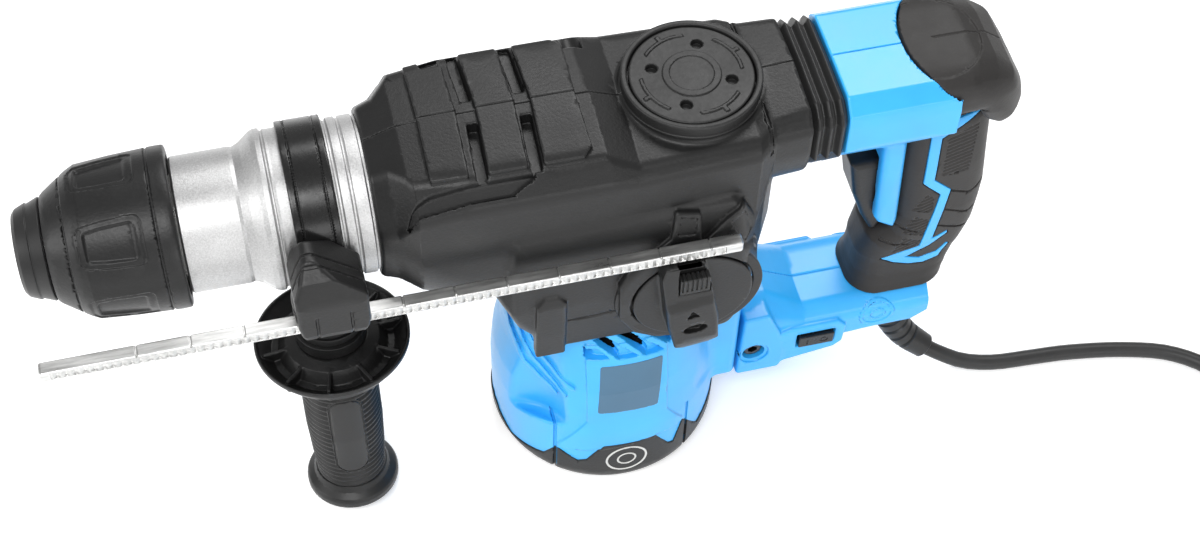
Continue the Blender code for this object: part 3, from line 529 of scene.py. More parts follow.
CORD_R = 3.6
CORD_ROUTE = [(150.0, -18.9, 11.7), (156.5, -22.0, 8.6), (166.0, -26.2, 5.4), (180.0, -29.6, 4.0),
    (199, -31.0, 3.9), (216, -32.2, 3.9), (244, -37.0, 3.9), (264, -43.8, 3.9), (278.6, -55.4, 3.9),
    (286.0, -71.0, 3.9), (288.2, -86.0, 3.9)]
COIL = (339.0, -92.0)
PLUG = (353.0, -16.0, 13.2)
OUTER, INNER = 41.2, 32.9
STATIONS = [(OUTER, 3.9), (INNER, 3.9), (INNER, 11.3), (OUTER, 11.3), (OUTER, 18.7), (INNER, 18.7),
    (INNER, 26.1), (OUTER, 26.1)]
COIL_START, COIL_SWEEP = 174, 8 * 360 - 180    # degrees
LEAD_IN, LEAD_GAP = 84, 9.4                    # degrees over which the cord closes this gap to the coil
STEP_OVER = 70                                 # degrees in which a turn becomes the next one


def ease(t):
    return t * t * (3 - 2 * t)


def coil_points():
    """Stacked turns: each station is one turn, eased into the next over its last STEP_OVER degrees."""
    pts = []
    for deg in range(0, COIL_SWEEP + 1, 6):
        turn, part = divmod(deg, 360)
        r, h = STATIONS[turn]
        if deg < LEAD_IN:
            r += LEAD_GAP * (1 - ease(deg / LEAD_IN))
        if part > 360 - STEP_OVER and turn < 7:
            r2, h2 = STATIONS[turn + 1]
            k = ease((part - 360 + STEP_OVER) / STEP_OVER)
            r, h = r + (r2 - r) * k, h + (h2 - h) * k
        a = math.radians(COIL_START) + math.radians(deg)
        pts.append(Vector((COIL[0] + r * math.cos(a), COIL[1] + r * math.sin(a), h)))
    return pts


coil = coil_points()
lead = catmull(CORD_ROUTE)
last = coil[-1]
heading = (coil[-1] - coil[-2]).normalized()
goal = Vector(PLUG)


def plug_run(steps=24):
    """Straight run off the coil, then one even bend into the plug."""
    c, s = heading.x, heading.y
    dx, dy = goal.x - last.x, goal.y - last.y
    det = -s * s - c * (1 + c)
    radius, straight = (s * dx - c * dy) / det, (-s * dy - (1 + c) * dx) / det
    begin = math.atan2(s, c)
    whole = straight + radius * (math.pi - begin)
    pts = []
    for k in range(1, steps + 1):
        gone = whole * k / steps
        run = min(gone, straight)
        turn = begin + max(0.0, gone - straight) / radius
        pts.append(Vector((last.x + c * run + radius * (math.sin(turn) - s),
            last.y + s * run + radius * (c - math.cos(turn)),
            last.z + (goal.z - last.z) * ease(k / steps))))
    return pts


cord_fine = lead[:-1] + coil + plug_run()
cord_pts, cord_len = evenly(catmull(cord_fine[:-1][::2] + [cord_fine[-1]], 6), 5.5)
curve = bpy.data.curves.new("cord_lead", "CURVE")
curve.dimensions = "3D"
curve.bevel_depth = CORD_R * MM
curve.bevel_resolution = 4
curve.use_fill_caps = True
spline = curve.splines.new("POLY")
spline.points.add(len(cord_pts) - 1)
for sp, pos in zip(spline.points, cord_pts):
    sp.co = (*(pos * MM), 1.0)
cord = add("cord_lead", curve)
place(cord, "housing", "cord", CORD, "cord", "cord_coil")

GUARD_ROUTE = [(127.0, -4.6, 47.5), (128.6, -6.0, 41.5), (132.6, -9.0, 31.0), (139.6, -13.4, 19.6),
    (149.4, -18.6, 12.0)]


def guard_mesh():
    """Tapered bend relief with a run of ribs and a plain collar at its end."""
    pts, total = evenly(catmull(GUARD_ROUTE), 0.45)
    steps = 40
    verts, faces = [], []
    side = Vector((0, 1, 0))
    for i, p in enumerate(pts):
        d = (pts[min(i + 1, len(pts) - 1)] - pts[max(i - 1, 0)]).normalized()
        side = (side - d * side.dot(d)).normalized()
        other = d.cross(side)
        s = total * i / (len(pts) - 1)
        t = s / total
        r = 8.2 - 2.3 * t
        if 0.18 < t < 0.86:
            wave = (s % 5.2) / 5.2
            r -= max(0.0, min(1.0, min(wave, 1 - wave) * 9 - 1.6)) if wave > 0.55 else 0.0
        if t > 0.86:
            r = 6.2 - 0.4 * (t - 0.86) / 0.14
        if i in (0, len(pts) - 1):
            r -= 0.5
        for k in range(steps):
            a = math.tau * k / steps
            verts.append((p + (side * math.cos(a) + other * math.sin(a)) * r) * MM)
    n = len(pts)
    for i in range(n - 1):
        for k in range(steps):
            m = (k + 1) % steps
            faces.append((i * steps + k, i * steps + m, (i + 1) * steps + m, (i + 1) * steps + k))
    faces.append(list(range(steps))[::-1])
    faces.append([(n - 1) * steps + k for k in range(steps)])
    mesh = bpy.data.meshes.new("cord_relief")
    mesh.from_pydata(verts, [], faces)
    mesh.shade_smooth()
    mesh.set_sharp_from_angle(angle=math.radians(40))
    return add("cord_relief", mesh)


relief = place(guard_mesh(), "rear_handle", "rubber", CORD, "cord_guard")


def plug_field(x, y, z):
    u = PLUG[0] - x
    v, w = y - PLUG[1], (z - (PLUG[2] - AXIS_H)) / 0.70
    q = np.hypot(v, w)
    body = poly(u, q, [(0, -1), (0, 4.4), (3, 5.2), (14, 6.4), (20, 12.2), (26, 17.8), (34, 18.6),
        (36, 17.6), (36, -1)], 0.8)
    for k in range(4):
        body = carve(body, np.abs(u - 4.6 - 2.9 * k) - 0.7, 0.9, 0.2)
    grip = rmax(np.abs(np.abs(w) - 17.5) - 2.6, slab(u, 21.5, 32.0), 0.5)
    body = rmax(body, -rmax(grip, np.abs(v) - 10, 1.0), 0.8)
    for sgn in (-1, 1):
        body = rmax(body, -rmax(np.hypot(v - sgn * 9.5, w * 0.7) - 2.6, 30 - u))
    return body * F(0.72)


plug = piece("plug_shell", plug_field, (PLUG[0] - 38, PLUG[1] - 20, -AXIS_H),
    (PLUG[0] + 2, PLUG[1] + 20, -148), 0.5, "housing", "rubber", RUBBER, "plug_body")


# ---- gear housing
TOP_X = [-97, -84, -76.8, -57.4, -15.9, -9.7, 2.9, 50, 57, 72]
TOP_Z = [31.2, 36.5, 36.9, 37.4, 37.2, 37.2, 31.7, 32, 33.6, 34.6]
SEC_X = [-97, -90, -82, -62, -8, 2, 50, 57, 72]
CHAM = [32.5, 35, 43, 45.4, 45.4, 44, 43, 40, 39.5]
SIDE = [31.8, 34.2, 37.6, 38.2, 38.4, 38.0, 36, 30.7, 29.8]
LOW1 = [31.4, 33.5, 39.6, 46, 46, 46, 44, 25.1, 24.3]
LOW2 = [31, 33, 36.6, 40, 40, 40, 36, 26.5, 27.5]
PAD_A = [(-75.5, -5), (-60.6, -5), (-61.6, 29.5), (-75.8, 28.5)]
PAD_B = [(-52.8, -5), (-38.2, -5), (-39.4, 29.7), (-54.2, 29.7)]
PAD_C = [(-31.8, -5), (-15.2, -5), (-14.2, 25.5), (-18, 29.7), (-33.2, 29.7)]
SLOTS = [[(-57.7, 5.5), (-53.3, 5.5), (-54.6, 30.6), (-58.9, 30.6)],
    [(-37.3, 5.5), (-32.9, 5.5), (-34.0, 30.6), (-38.5, 30.6)]]
BELT = [(-87.0, 35.4), (-84.2, 32.6), (-77, 30.9), (-36, 30.9), (-38, 32.6), (-46, 35.4), (-80.5, 35.6)]
CRANK = [(-62, -8), (-61, 20), (-48, 41.2), (43, 41.6), (57, 26), (65, 12), (66, -8)]
ESCUTCHEON = [(15.6, 5), (25.5, 3.4), (26.4, -14), (36.2, -2.5), (43.4, 3.6), (50.4, -12), (49.4, -27),
    (52.4, -34), (54.2, -47), (49.6, -53), (50, -66), (38, -76), (14, -76), (1, -67), (-5.8, -54),
    (-6.4, -32), (-2, -22), (8, -14), (14, -8)]


def housing_field(side):
    def field(x, y, z):
        a = np.abs(y)
        top = z - (table(x, TOP_X, TOP_Z) - 0.09 * a)
        cham = 0.76 * a + 0.65 * z - table(x, SEC_X, CHAM)
        wall = a - table(x, SEC_X, SIDE)
        d = rmax(rmax(top, cham, 1.6), wall, 1.6)
        d = rmax(d, 0.88 * a - 0.45 * z - table(x, SEC_X, LOW1), 5.0)
        d = rmax(d, 0.18 * a - 0.98 * z - table(x, SEC_X, LOW2), 5.0)
        d = rmax(d, 0.80 * a - 0.60 * z - table(x, [46, 52, 58, 72], [60, 44, 22.6, 21.8]), 2.0)
        up = z > 8
        if up.any():
            for pts in (PAD_A, PAD_B, PAD_C):
                d = lift(d, rmax(poly(x, a, pts, 1.0), 10 - z), 2.3, 0.5)
            d = carve(d, rmax(poly(x, a, BELT, 0.6), 14 - z), 1.9, 0.25)
            for pts in SLOTS:
                d = rmax(d, -rmax(poly(x, a, pts, 1.2), 31.4 - z, 0.4), 0.6)
            # shallow step at the rear collar
            d = carve(d, rmax(slab(x, 54.2, 55.4), 20 - z), 0.7, 0.2)
        d = rmax(d, -96.8 - x, 1.6)
        d = rmax(d, x - 72.0, 1.0)
        # crankcase
        if (z < 14).any():
            s = table(z, [-76, -70, -43, -14, 2, 12], [0.95, 0.955, 1, 1, 0.955, 0.88])
            c = poly(x / s, a / s, CRANK, 3.0) * s
            c = rmax(c, -0.825 * x - 0.567 * z - 71.0, 7.0)
            c = rmax(c, z - 6.5, 5.0)
            c = rmax(c, -73.3 - z, 1.2)
            rib = poly(x, z, [(-39.5, -80), (-39.5, -38), (-36, -34), (-30.5, -34), (-27.2, -38),
                (-27.2, -80)], 1.2)
            bar = rmax(rmax(rib, a - table(z, [-76, -60, -40, -34], [41.2, 42.4, 43.4, 42.2]), 1.0),
                rmax(30 - a, -75.6 - z), 0.8)
            c = rmin(c, bar, 1.2)
            c = carve(c, rmax(np.abs(line(x, z, [(-26, -53.5), (-2, -52.6)])) - 0.5, 30 - a), 0.5, 0.2)
            if side < 0:
                dial = np.hypot(x - DIAL[0], z - DIAL[1])
                c = lift(c, rmax(dial - 31.5, 30 - a), 1.6, 0.8)
                esc = poly(x, z, ESCUTCHEON, 1.2)
                c = lift(c, rmax(esc, 30 - a), 2.4, 0.7)
                c = rmax(c, -rmax(dial - 25.6, 41.8 - a, 0.2), 0.4)
                for tab in ([(17.6, 3.0), (24.0, 1.8), (23.4, -7.5), (16.4, -6.5)],
                        [(37.8, -4.2), (43.0, 0.2), (48.4, -12), (44.2, -17)],
                        [(47.6, -36), (51.6, -38), (52.0, -46), (47.8, -49)]):
                    c = carve(c, rmax(poly(x, z, tab, 0.6), 40 - a), 0.4, 0.15)
            d = rmin(d, c, 1.4)
        if side > 0:
            # screw recesses
            for sx, sz, sr in ((-66, 34.0, 4.4), (-10, 33.2, 4.2)):
                d = rmax(d, -rmax(np.hypot(x - sx, z - sz) - sr, 25.0 - a), 0.5)
        # grease cap seat
        seat = np.hypot(x - GREASE_X, y)
        if (z > 20).any():
            d = rmax(d, -rmax(seat - 25.2, 29.8 - z), 0.3)
            d = rmin(d, rmax(rmax(seat - 27.9, 24 - z), z - 32.6, 0.6), 2.0)
        # inner space for the gears
        room = rmax(poly(x, a, [(-50, -8), (-50, 18), (-41, 36.5), (40, 37.2), (51, 23), (58.5, 11),
            (58.5, -8)]), slab(z, -80, -18))
        bore = rmax(np.hypot(a, z) - 28.7, slab(x, -120, 52.5))
        d = rmax(d, -np.minimum(room, bore))
        return rmax(d, 0.08 - y * side, 0.45)
    return field


for side, half, lo, hi, step in ((-1, "near", -48, 1, 0.62), (1, "far", -1, 48, 0.7)):
    piece("housing_shell_" + half, housing_field(side), (-98, lo, -75), (73.5, hi, 42), step, "housing",
        "black", BLACK, "housing_" + half, adapt=FLAT)


def grease_field(x, y, z):
    u, v = x - GREASE_X, y
    r = np.hypot(u, v)
    d = rmax(rmax(24.9 - r, r - 27.4, 0.6), slab(z, 30.2, 37.3), 0.8)
    disc = rmax(rmax(r - 24.2, slab(z, 30.2, 36.9), 0.8), z - (37.3 - 0.0009 * r * r), 0.5)
    disc = lift(disc, rmax(r - 11.3, 30 - z), 0.9, 0.3)
    disc = carve(disc, rmax(r - 8.6, 30 - z), 0.5, 0.2)
    ang = np.arctan2(v, u)
    for k in range(4):
        c = math.radians(-22.4 + 90 * k)
        hx, hy = u - 15.5 * math.cos(c), v - 15.5 * math.sin(c)
        disc = rmax(disc, -rmax(np.hypot(hx, hy) - 2.3, 34.2 - z), 0.25)
        mid = c + math.pi / 4
        off = np.abs((ang - mid + math.pi) % math.tau - math.pi) * r
        arc = rmax(np.abs(r - 19.6) - 0.7, off - 9.5, 0.4)
        stub = rmax(slab(r, 19.6, 22.6), off - 0.9, 0.3)
        disc = lift(disc, rmax(np.minimum(arc, stub), 33 - z), 0.7, 0.2)
    return np.minimum(d, disc)


piece("grease_cover", grease_field, (2.5, -28.5, 29), (59.5, 28.5, 39.5), 0.45, "housing", "black", GREY,
    "grease_cap")

FOLD = [(-8, 33.4), (21, 32.6), (26.4, 28.8), (28.6, 24.6), (28.8, 6.6), (14, -14), (-8, -24)]


def bellows_field(x, y, z):
    a = np.abs(y)
    d2 = poly(a, z, FOLD, 2.0)
    fold = 1.25 * (1 + np.cos(math.tau * (x - 72.4) / 4.77))
    d = rmax((d2 + fold) * F(0.62), slab(x, 72.3, 86.8), 0.6)
    return rmax(d, -(d2 + 4.6))


bellows = mesh_field("bellows_boot", bellows_field, (71.5, -30, -28), (87.5, 30, 34.5), 0.5)
dress(bellows, RUBBER)
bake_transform(bellows)
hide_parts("bellows")

# ---- rear handle
ARM = [(-8, 33.8), (21.6, 33.2), (27.6, 27.4), (28.2, 22.0), (28.4, 7.6), (13, -14), (-8, -24)]
POST = [(110.3, 4), (110.3, -9.7), (113.2, -62), (114.9, -65.4), (122.9, -71.3), (123.8, -65.2),
    (120.8, -9.4), (122, 4)]
BRIDGE = [(56.8, -103.5), (69, -103.5), (78, -109), (86, -113.5), (157.4, -113.5), (158.2, -115.4),
    (147, -126.5), (137, -133.5), (120, -133.5), (106, -134.5), (101, -139), (78, -143), (75, -147),
    (55.6, -147)]
BOSS = [(54, -106), (68, -104.6), (74, -119.2), (76.1, -132.8), (76.7, -150), (54, -150)]
TRIG_POCKET = [(92, -24), (121.4, -24), (124.6, -38), (124.6, -56), (121.8, -63), (121.2, -74.4),
    (108, -74.4), (92, -40)]
GRIP = [(117, 6), (120.6, -9), (123.6, -65), (121, -74), (113.4, -80), (110.6, -92), (110.6, -122),
    (146, -122), (153.6, -107), (158.8, -91), (161.4, -75), (161.4, -50), (158.8, -26), (156, 6)]
BOLT = [(149.2, 1.6), (139.1, -0.7), (129.3, -8.1), (130.4, -39.1), (139.3, -48.5), (136.4, -86.6),
    (119.9, -91.9), (126, -96.3), (133.3, -99), (140, -99.8), (146.9, -97.3), (150, -88.6), (149, -88),
    (145.4, -94.2), (138, -96.4), (131.2, -94), (141.2, -87), (147.6, -78.8), (147.3, -77.5),
    (141.2, -82.2), (143.4, -46.2), (134.9, -37.7), (134, -10.6), (142.5, -3.5)]


def cap_front(a):
    return 116 + 18.5 * (1 - np.sqrt(rmax(0.0, 1 - (np.minimum(a, 27.6) / 27.7) ** 2)))


def bridge_field(x, a, z):
    d = rmax(poly(x, z, BRIDGE, 2.0), a - 22.4, 2.5)
    d = rmax(d, 0.70 * a + 0.714 * (z + 113.5) - 11.4 - np.clip((86 - x) * 0.28, 0, 7), 2.0)
    boss = rmax(rmax(poly(x, z, BRIDGE, 1.5), a - 24.6, 1.6), poly(x, z, BOSS, 1.5), 1.2)
    d = rmin(d, boss, 1.0)
    panel = rmax(poly(x, z, [(74, -121.5), (79, -119.5), (101, -119.5), (105, -124), (104.4, -136),
        (100, -140), (74, -144)], 1.0), a - 24.4, 1.2)
    d = rmin(d, rmax(panel, poly(x, z, BRIDGE, 1.5), 1.0), 0.8)
    return d


def grip_field(x, y, z):
    """Bare outside of the soft jacket round the rear grip, flared where it stands on the bridge."""
    a = np.abs(y)
    half = table(z, [-113.5, -104, -94, -80, -60, -30, -5], [15.6, 14.6, 14.2, 15.6, 16.8, 17.0, 16.4])
    flare = table(z, [-113.5, -110, -104, -96, -88], [2.6, 1.4, 0.4, 0.0, 0.0])
    d = rmax(poly(x, z, GRIP, 3.0), a - half, 11.0) - flare
    return rmax(d, -113.3 - z, 0.6)


def handle_field(side):
    def field(x, y, z):
        a = np.abs(y)
        arm = rmax(poly(a, z, ARM, 2.2), slab(x, 86.9, 150), 0.8)
        arm = rmax(arm, x - cap_front(a) + 0.25)
        inner = rmax(poly(a, z, [(-8, 29), (19, 28.6), (23.4, 24), (24, 20), (24, 8), (10, -9), (-8, -18)]),
            slab(x, 80, 112))
        arm = rmax(arm, -inner)
        post = rmax(poly(x, z, POST, 1.2), a - 14.4, 3.0)
        post = rmax(post, -rmax(a - 9.6, poly(x, z, TRIG_POCKET)))
        d = rmin(arm, post, 1.2)
        d = rmax(d, -rmax(a - 9.6, poly(x, z, TRIG_POCKET)))
        low = bridge_field(x, a, z)
        if (z < -90).any():
            # screw wells, switch window and a plain ring emblem
            hole = np.hypot(x - PIVOT_X, z - PIVOT_Z)
            low = carve(low, rmax(hole - 6.6, 15 - a), 1.0, 0.3)
            low = rmax(low, -rmax(hole - 5.0, 16.2 - a), 0.4)
            if side < 0:
                low = rmax(low,
                    -rmax(poly(x, z, [(82.3, -133.9), (82.3, -124.5), (100.1, -124.5), (100.1, -133.9)],
                    0.5), 15 - a), 0.5)
            ring = np.hypot((x - 119.5), (z + 122.4) * 1.15)
            low = lift(low, rmax(np.abs(ring - 7.4) - 0.7, 15 - a), 0.45, 0.15)
            low = lift(low, rmax(np.abs(ring - 3.4) - 0.5, 15 - a), 0.35, 0.12)
            hollow = rmax(poly(x, z, [(50, -108), (68, -108), (77, -114), (86, -118.5), (147, -118.5),
                (146, -122), (139, -129), (106, -130), (98, -135), (76, -141.6), (50, -141.6)]), a - 14.5)
            low = rmax(low, -hollow)
            low = rmax(low, -rmax(np.hypot(x - 127, y + 4) - 7.6, slab(z, -140, -126)))
        d = np.minimum(d, low)
        return rmax(d, 0.06 - y * side, 0.35)
    return field


def jacket_field(x, y, z):
    a = np.abs(y)
    d = grip_field(x, y, z)
    post = rmax(poly(x, z, POST, 1.2), a - 14.4 - 0.35, 3.0) - 0.3
    d = rmax(d, -post, 0.3)
    d = rmax(d, -rmax(a - 9.7, poly(x, z, TRIG_POCKET)), 0.4)
    # lower edge of the arm and of the rear cap
    d = rmax(d, z - np.where(x < cap_front(a), F(-6), F(13)))
    side_skin = 9 - a
    bolt = rmax(poly(x, z, BOLT), side_skin)
    d = carve(d, bolt - 0.35, 0.8, 0.15)
    # fine ribs and moulded break lines on the sides
    for pts, slant in (([(137, -11.5), (149, -4), (149, -34), (138, -36)], 0.35),
            ([(133, -47), (136.8, -50), (137.2, -60), (129, -58)], 0.5),
            ([(131, -62.5), (137, -66), (136.8, -78), (127, -74)], 0.5),
            ([(128, -78), (136, -81.5), (134.5, -86), (124, -88)], 0.5)):
        reg = rmax(poly(x, z, pts), side_skin)
        wave = 0.5 + 0.5 * np.cos((z - slant * x) * (math.tau / 2.3))
        d = rmax(d, np.minimum(-reg, d + 0.5 * wave))
    for run in ([(124.5, -71), (134, -74.5)], [(118.5, -80), (131, -83.5)],
            [(144, -47), (152, -50), (162, -46)], [(143.4, -60), (154, -65), (164, -62)],
            [(142.4, -72), (156, -77)]):
        d = carve(d, rmax(line(x, z, run) - 0.55, side_skin), 0.6, 0.2)
    core = rmax(poly(x, z, [(126, 0), (128, -60), (127, -108), (146, -108), (150, -60), (148, 0)]), a - 9)
    return rmax(d, -core)


def bolt_field(x, y, z):
    a = np.abs(y)
    skin = grip_field(x, y, z) - 0.12
    d = rmax(skin, poly(x, z, BOLT, 0.2), 0.35)
    d = rmax(d, z - 13.0)
    d = rmax(d, 10 - a)
    return rmax(d, -(skin + 1.6))


for side, half, lo, hi, step in ((-1, "near", -29.5, 1, 0.6), (1, "far", -1, 29.5, 0.7)):
    piece("handle_shell_" + half, handle_field(side), (54, lo, -149), (137, hi, 35.5), step, "rear_handle",
        "blue", BLUE, "handle_" + half, adapt=FLAT)
piece("grip_jacket", jacket_field, (106, -20, -115), (167.5, 20, 14), 0.55, "rear_handle", "soft", SOFT,
    "grip_pad", adapt=FLAT)
piece("grip_inlay", bolt_field, (118, -18.5, -101), (152, 18.5, 3), 0.4, "rear_handle", "blue", BLUE)

CAP = [(112, 34.6), (142, 34.6), (150.5, 31.6), (157.8, 25.8), (163.6, 16.0), (167.4, 6.4), (168.0, 4.0),
    (166.0, -0.5), (161.4, -4.0), (155, -5.2), (148.6, 2), (143, 13.6), (112, 13.6)]


def cap_field(x, y, z):
    a = np.abs(y)
    d = rmax(poly(x, z, CAP, 1.5), a - table(z, [-28, -16, -5, 4, 12, 20], [9, 14, 19, 23.5, 27, 27.6]), 6.0)
    plan = (np.hypot(rmax(x - 133, 0) / 37.6, a / 27.8) - 1) * 26
    d = rmax(d, plan, 3.0)
    d = rmax(d, 0.62 * a + 0.785 * z - 40.0 + np.clip((x - 138) * 0.34, 0, 20), 5.0)
    d = rmax(d, cap_front(a) - x, 0.5)
    oval = np.hypot((x - 128) / 19.5, a / 20.5) - 1
    d = carve(d, rmax(oval * 18, 20 - z), 0.7, 0.5)
    rim = rmax(np.abs(z - 13.6) - 0.4, x - 146)
    hollow = rmax(poly(x, z, [(118, 28), (138, 28), (150, 20), (158, 12), (160.4, 7), (157, 2.0),
        (151.4, 4), (140, 18), (118, 18)]), a - 18)
    seam = rmax(0.0, 0.4 - a) * 0.9
    return rmax(rmax(d + np.where(x > 128, seam, 0), -hollow), -rmax(rim, 0))


piece("rear_cover", cap_field, (114, -28.5, -29), (172, 28.5, 36), 0.6, "rear_handle", "soft", SOFT,
    "rear_cap", adapt=FLAT)


def trigger_field(x, y, z):
    a = np.abs(y)
    d = rmax(poly(x, z, [(100.4, -29.2), (115.4, -29.2), (120.2, -60), (120.2, -70), (117.4, -76.6),
        (114.6, -76.8), (109.5, -66), (104, -50)], 1.0), a - 9.0, 3.2)
    d = rmax(d, -(np.hypot(x - 84.5, z + 41) - 15.0), 2.0)
    return d


piece("trigger_blade", trigger_field, (96, -10, -78), (121.5, 10, -28), 0.45, "trigger_body", "black",
    BLACK, "trigger")


def rocker_field(x, y, z):
    d = rmax(poly(-y, z, [(25.6, -132.9), (25.9, -125.5), (22.0, -125.5), (19.6, -129.2), (22.0, -132.9)],
        0.4), slab(x, 83.2, 99.2), 0.5)
    ringmark = np.hypot(x - 94.6, z + 129.2)
    d = carve(d, rmax(np.abs(ringmark - 1.5) - 0.32, 24 + y), 0.25, 0.05)
    return carve(d, rmax(slab(x, 86.6, 87.2), slab(z, -131, -127.4)), 0.25, 0.05)


piece("rocker_cap", rocker_field, (82, -27, -134), (100.5, -18, -124), 0.3, "rocker", "black", DARK,
    "rocker_switch")


def screw(name, node, side):
    def field(x, y, z):
        v = y * side
        q = np.hypot(x - PIVOT_X, z - PIVOT_Z)
        d = rmax(q - 4.0, slab(v, 16.3, 22.0), 0.5)
        ang = np.arctan2(z - PIVOT_Z, x - PIVOT_X)
        hexa = q * np.cos((ang + math.pi / 6) % (math.pi / 3) - math.pi / 6) - 2.0
        return rmax(d, -rmax(hexa, 18.5 - v), 0.15)
    lo, hi = sorted((side * 16, side * 22.5))
    return place(mesh_field(name, field, (58, lo - 0.5, -137.5), (68, hi + 0.5, -127.5), 0.3),
        "rear_handle", "dark_steel", DARK_STEEL, node)


screw("handle_screw_near", "pivot_screw_near", -1)
screw("handle_screw_far", "pivot_screw_far", 1)

# ---- motor
MOT_Z = [-176, -157.6, -136, -121, -106, -88, -79, -73.8]
MOT_X = [49.8, 49.9, 50.0, 48.8, 45.6, 43.0, 42.0, 41.4]
MOT_Y = [49.6, 49.7, 49.4, 48.6, 47.6, 44.6, 41.4, 40.0]
BORDER_X = [-51, -49.2, -46.2, -35.1, -31.3, -29.8, -21.8, -18.1, -11.2, 12.3, 18.9, 21.6, 25.6, 27.6, 34.9,
    51]
BORDER_Z = [-158, -163.5, -167.0, -161.8, -153.4, -152.2, -158.6, -156.5, -145, -145.3, -156.4, -158,
    -144.5, -147.5, -161.5, -155]


def oval_dist(x, y, z):
    rx, ry = table(z, MOT_Z, MOT_X), table(z, MOT_Z, MOT_Y)
    k = np.hypot(x / rx, y / ry)
    return (k - 1) * np.minimum(rx, ry)


def motor_base(x, y, z):
    d = oval_dist(x, y, z)
    a = np.abs(y)
    d = rmax(d, a - table(z, MOT_Z, [49.2, 49.2, 49.0, 48.2, 47.2, 44.4, 41.2, 40]), 3.5)
    # scoops either side of the front panel, bounded by a rim above the foot
    for cx, cy, rad, zlo in ((-55.0, 46.0, 29.0, -135.0), (56.5, 49.0, 26.5, -133.0)):
        scoop = np.hypot(x - cx, a - cy) - rad
        scoop = rmax(scoop, (zlo - z) * 0.85 + 0.35 * (a - 36), 4.0)
        d = rmax(d, -scoop, 1.2)
    if (x < -20).any():
        for run in ([(-46, -84), (-44.5, -95), (-40.5, -106), (-35, -113), (-30, -116)],
                [(-43.5, -80), (-41.5, -91), (-37.5, -101), (-32, -108), (-27, -111)],
                [(-40.5, -77), (-38.8, -87), (-34.5, -96), (-29, -102), (-24, -104.5)]):
            d = lift(d, line(x, z, run) - 1.1, 1.3, 0.5)
    panel = poly(x, z, [(-18.3, -78), (-18.3, -126), (-31, -150), (26.3, -143), (17, -126.5), (16.4, -78)],
        0.8)
    return lift(d, rmax(panel, 25 - a), 1.1, 0.4)


def motor_field(x, y, z):
    a = np.abs(y)
    d = motor_base(x, y, z)
    d = rmax(d, slab(z, -168.6, -73.8), 0.8)
    boss = rmax(rmax(slab(x, 28, 55.0), slab(z, -146, -92), 3.0), a - 24.4, 3.0)
    d = rmin(d, boss, 3.0)
    tongue = rmax(poly(x, z, [(50, -139.2), (63, -139.2), (70.5, -136), (70.5, -129), (63, -125.6),
        (50, -125.6)], 1.0), a - 11.6, 0.6)
    d = rmin(d, tongue, 0.6)
    if (a > 30).any():
        for pts in ([(-18.5, -79.8), (-13, -79.8), (-8.5, -85.2), (-18.5, -85.2)],
                [(-15, -76), (-10, -74), (4, -85.8), (-4.4, -85.8)],
                [(-5, -74), (0, -73), (15.5, -86.4), (7, -86.4)], [(6, -73.5), (10.5, -73), (18.4, -80.5),
                (18.4, -86)]):
            d = carve(d, rmax(poly(x, z, pts, 0.4), 30 - a), 4.6, 0.25)
        for gx in (-30.6, 27.8):
            d = carve(d, rmax(np.abs(x - gx) - 0.55, z + 134, 0.2), 1.0, 0.2)
    bore = np.hypot(x / 1.03, y) - table(z, [-160, -110, -80, -70], [43.4, 43.0, 37.2, 37.2])
    d = rmax(d, -rmax(bore, motor_base(x, y, z) + 1.8))
    pin = rmax(np.hypot(x - PIVOT_X, z - PIVOT_Z) - 4.25, a - 20)
    return rmax(d, -pin)


def foot_field(x, y, z):
    a = np.abs(y)
    d = motor_base(x, y, z) - 0.55
    d = rmax(d, z - table(x, BORDER_X, BORDER_Z), 0.5)
    d = rmax(d, -176.0 - z, 2.2)
    chamf = oval_dist(x, y, z) + 0.55 * (-z - 169.0)
    d = rmax(d, chamf - 0.5, 1.5)
    for gx in (-30.6, 27.8):
        d = carve(d, np.abs(x - gx) - 0.6, 1.2, 0.3)
    for nx in (-12.5, 10.5):
        d = rmax(d, -rmax(rmax(np.abs(x - nx) - 2.6, z + 173.6, 0.4), 40 - a), 0.4)
    inner = np.hypot(x, y) - table(z, [-176, -170, -162, -140], [34, 34, 43, 44.2])
    inner = rmax(inner, -170.2 - z)
    return rmax(d, -inner)


piece("motor_shell", motor_field, (-52, -52, -170), (72, 52, -72), 0.68, "housing", "blue", BLUE,
    "motor_housing", adapt=FLAT)
piece("foot_cover", foot_field, (-52.5, -52.5, -176.5), (52.5, 52.5, -141), 0.6, "housing", "black", BLACK,
    "foot_cap", adapt=FLAT)


def label_skin(x, y, z):
    base = np.abs(motor_base(x, y, z) + 0.30) - 0.55
    d = rmax(base, poly(x, z, [(-12.6, -88.6), (14.4, -88.8), (12.4, -120.0), (-14.0, -119.2)], 1.2), 0.1)
    return rmax(d, y + 30)


piece("blank_label", label_skin, (-16, -51, -122), (16, -38, -87), 0.35, "housing", "label", LABEL,
    "label_plate")


def badge_field(x, y, z):
    q = np.hypot(x + 0.5, z + 158.5)
    skin = motor_base(x, y, z) - 0.55
    d = rmax(rmax(np.abs(q - 8.9) - 0.5, np.abs(skin + 0.2) - 0.5), y + 30)
    return np.minimum(d, rmax(rmax(np.abs(q - 4.0) - 0.45, np.abs(skin + 0.2) - 0.5), y + 30))


piece("plain_badge", badge_field, (-11, -52, -169), (10, -46, -148), 0.35, "housing", "white", WHITE,
    "foot_badge")


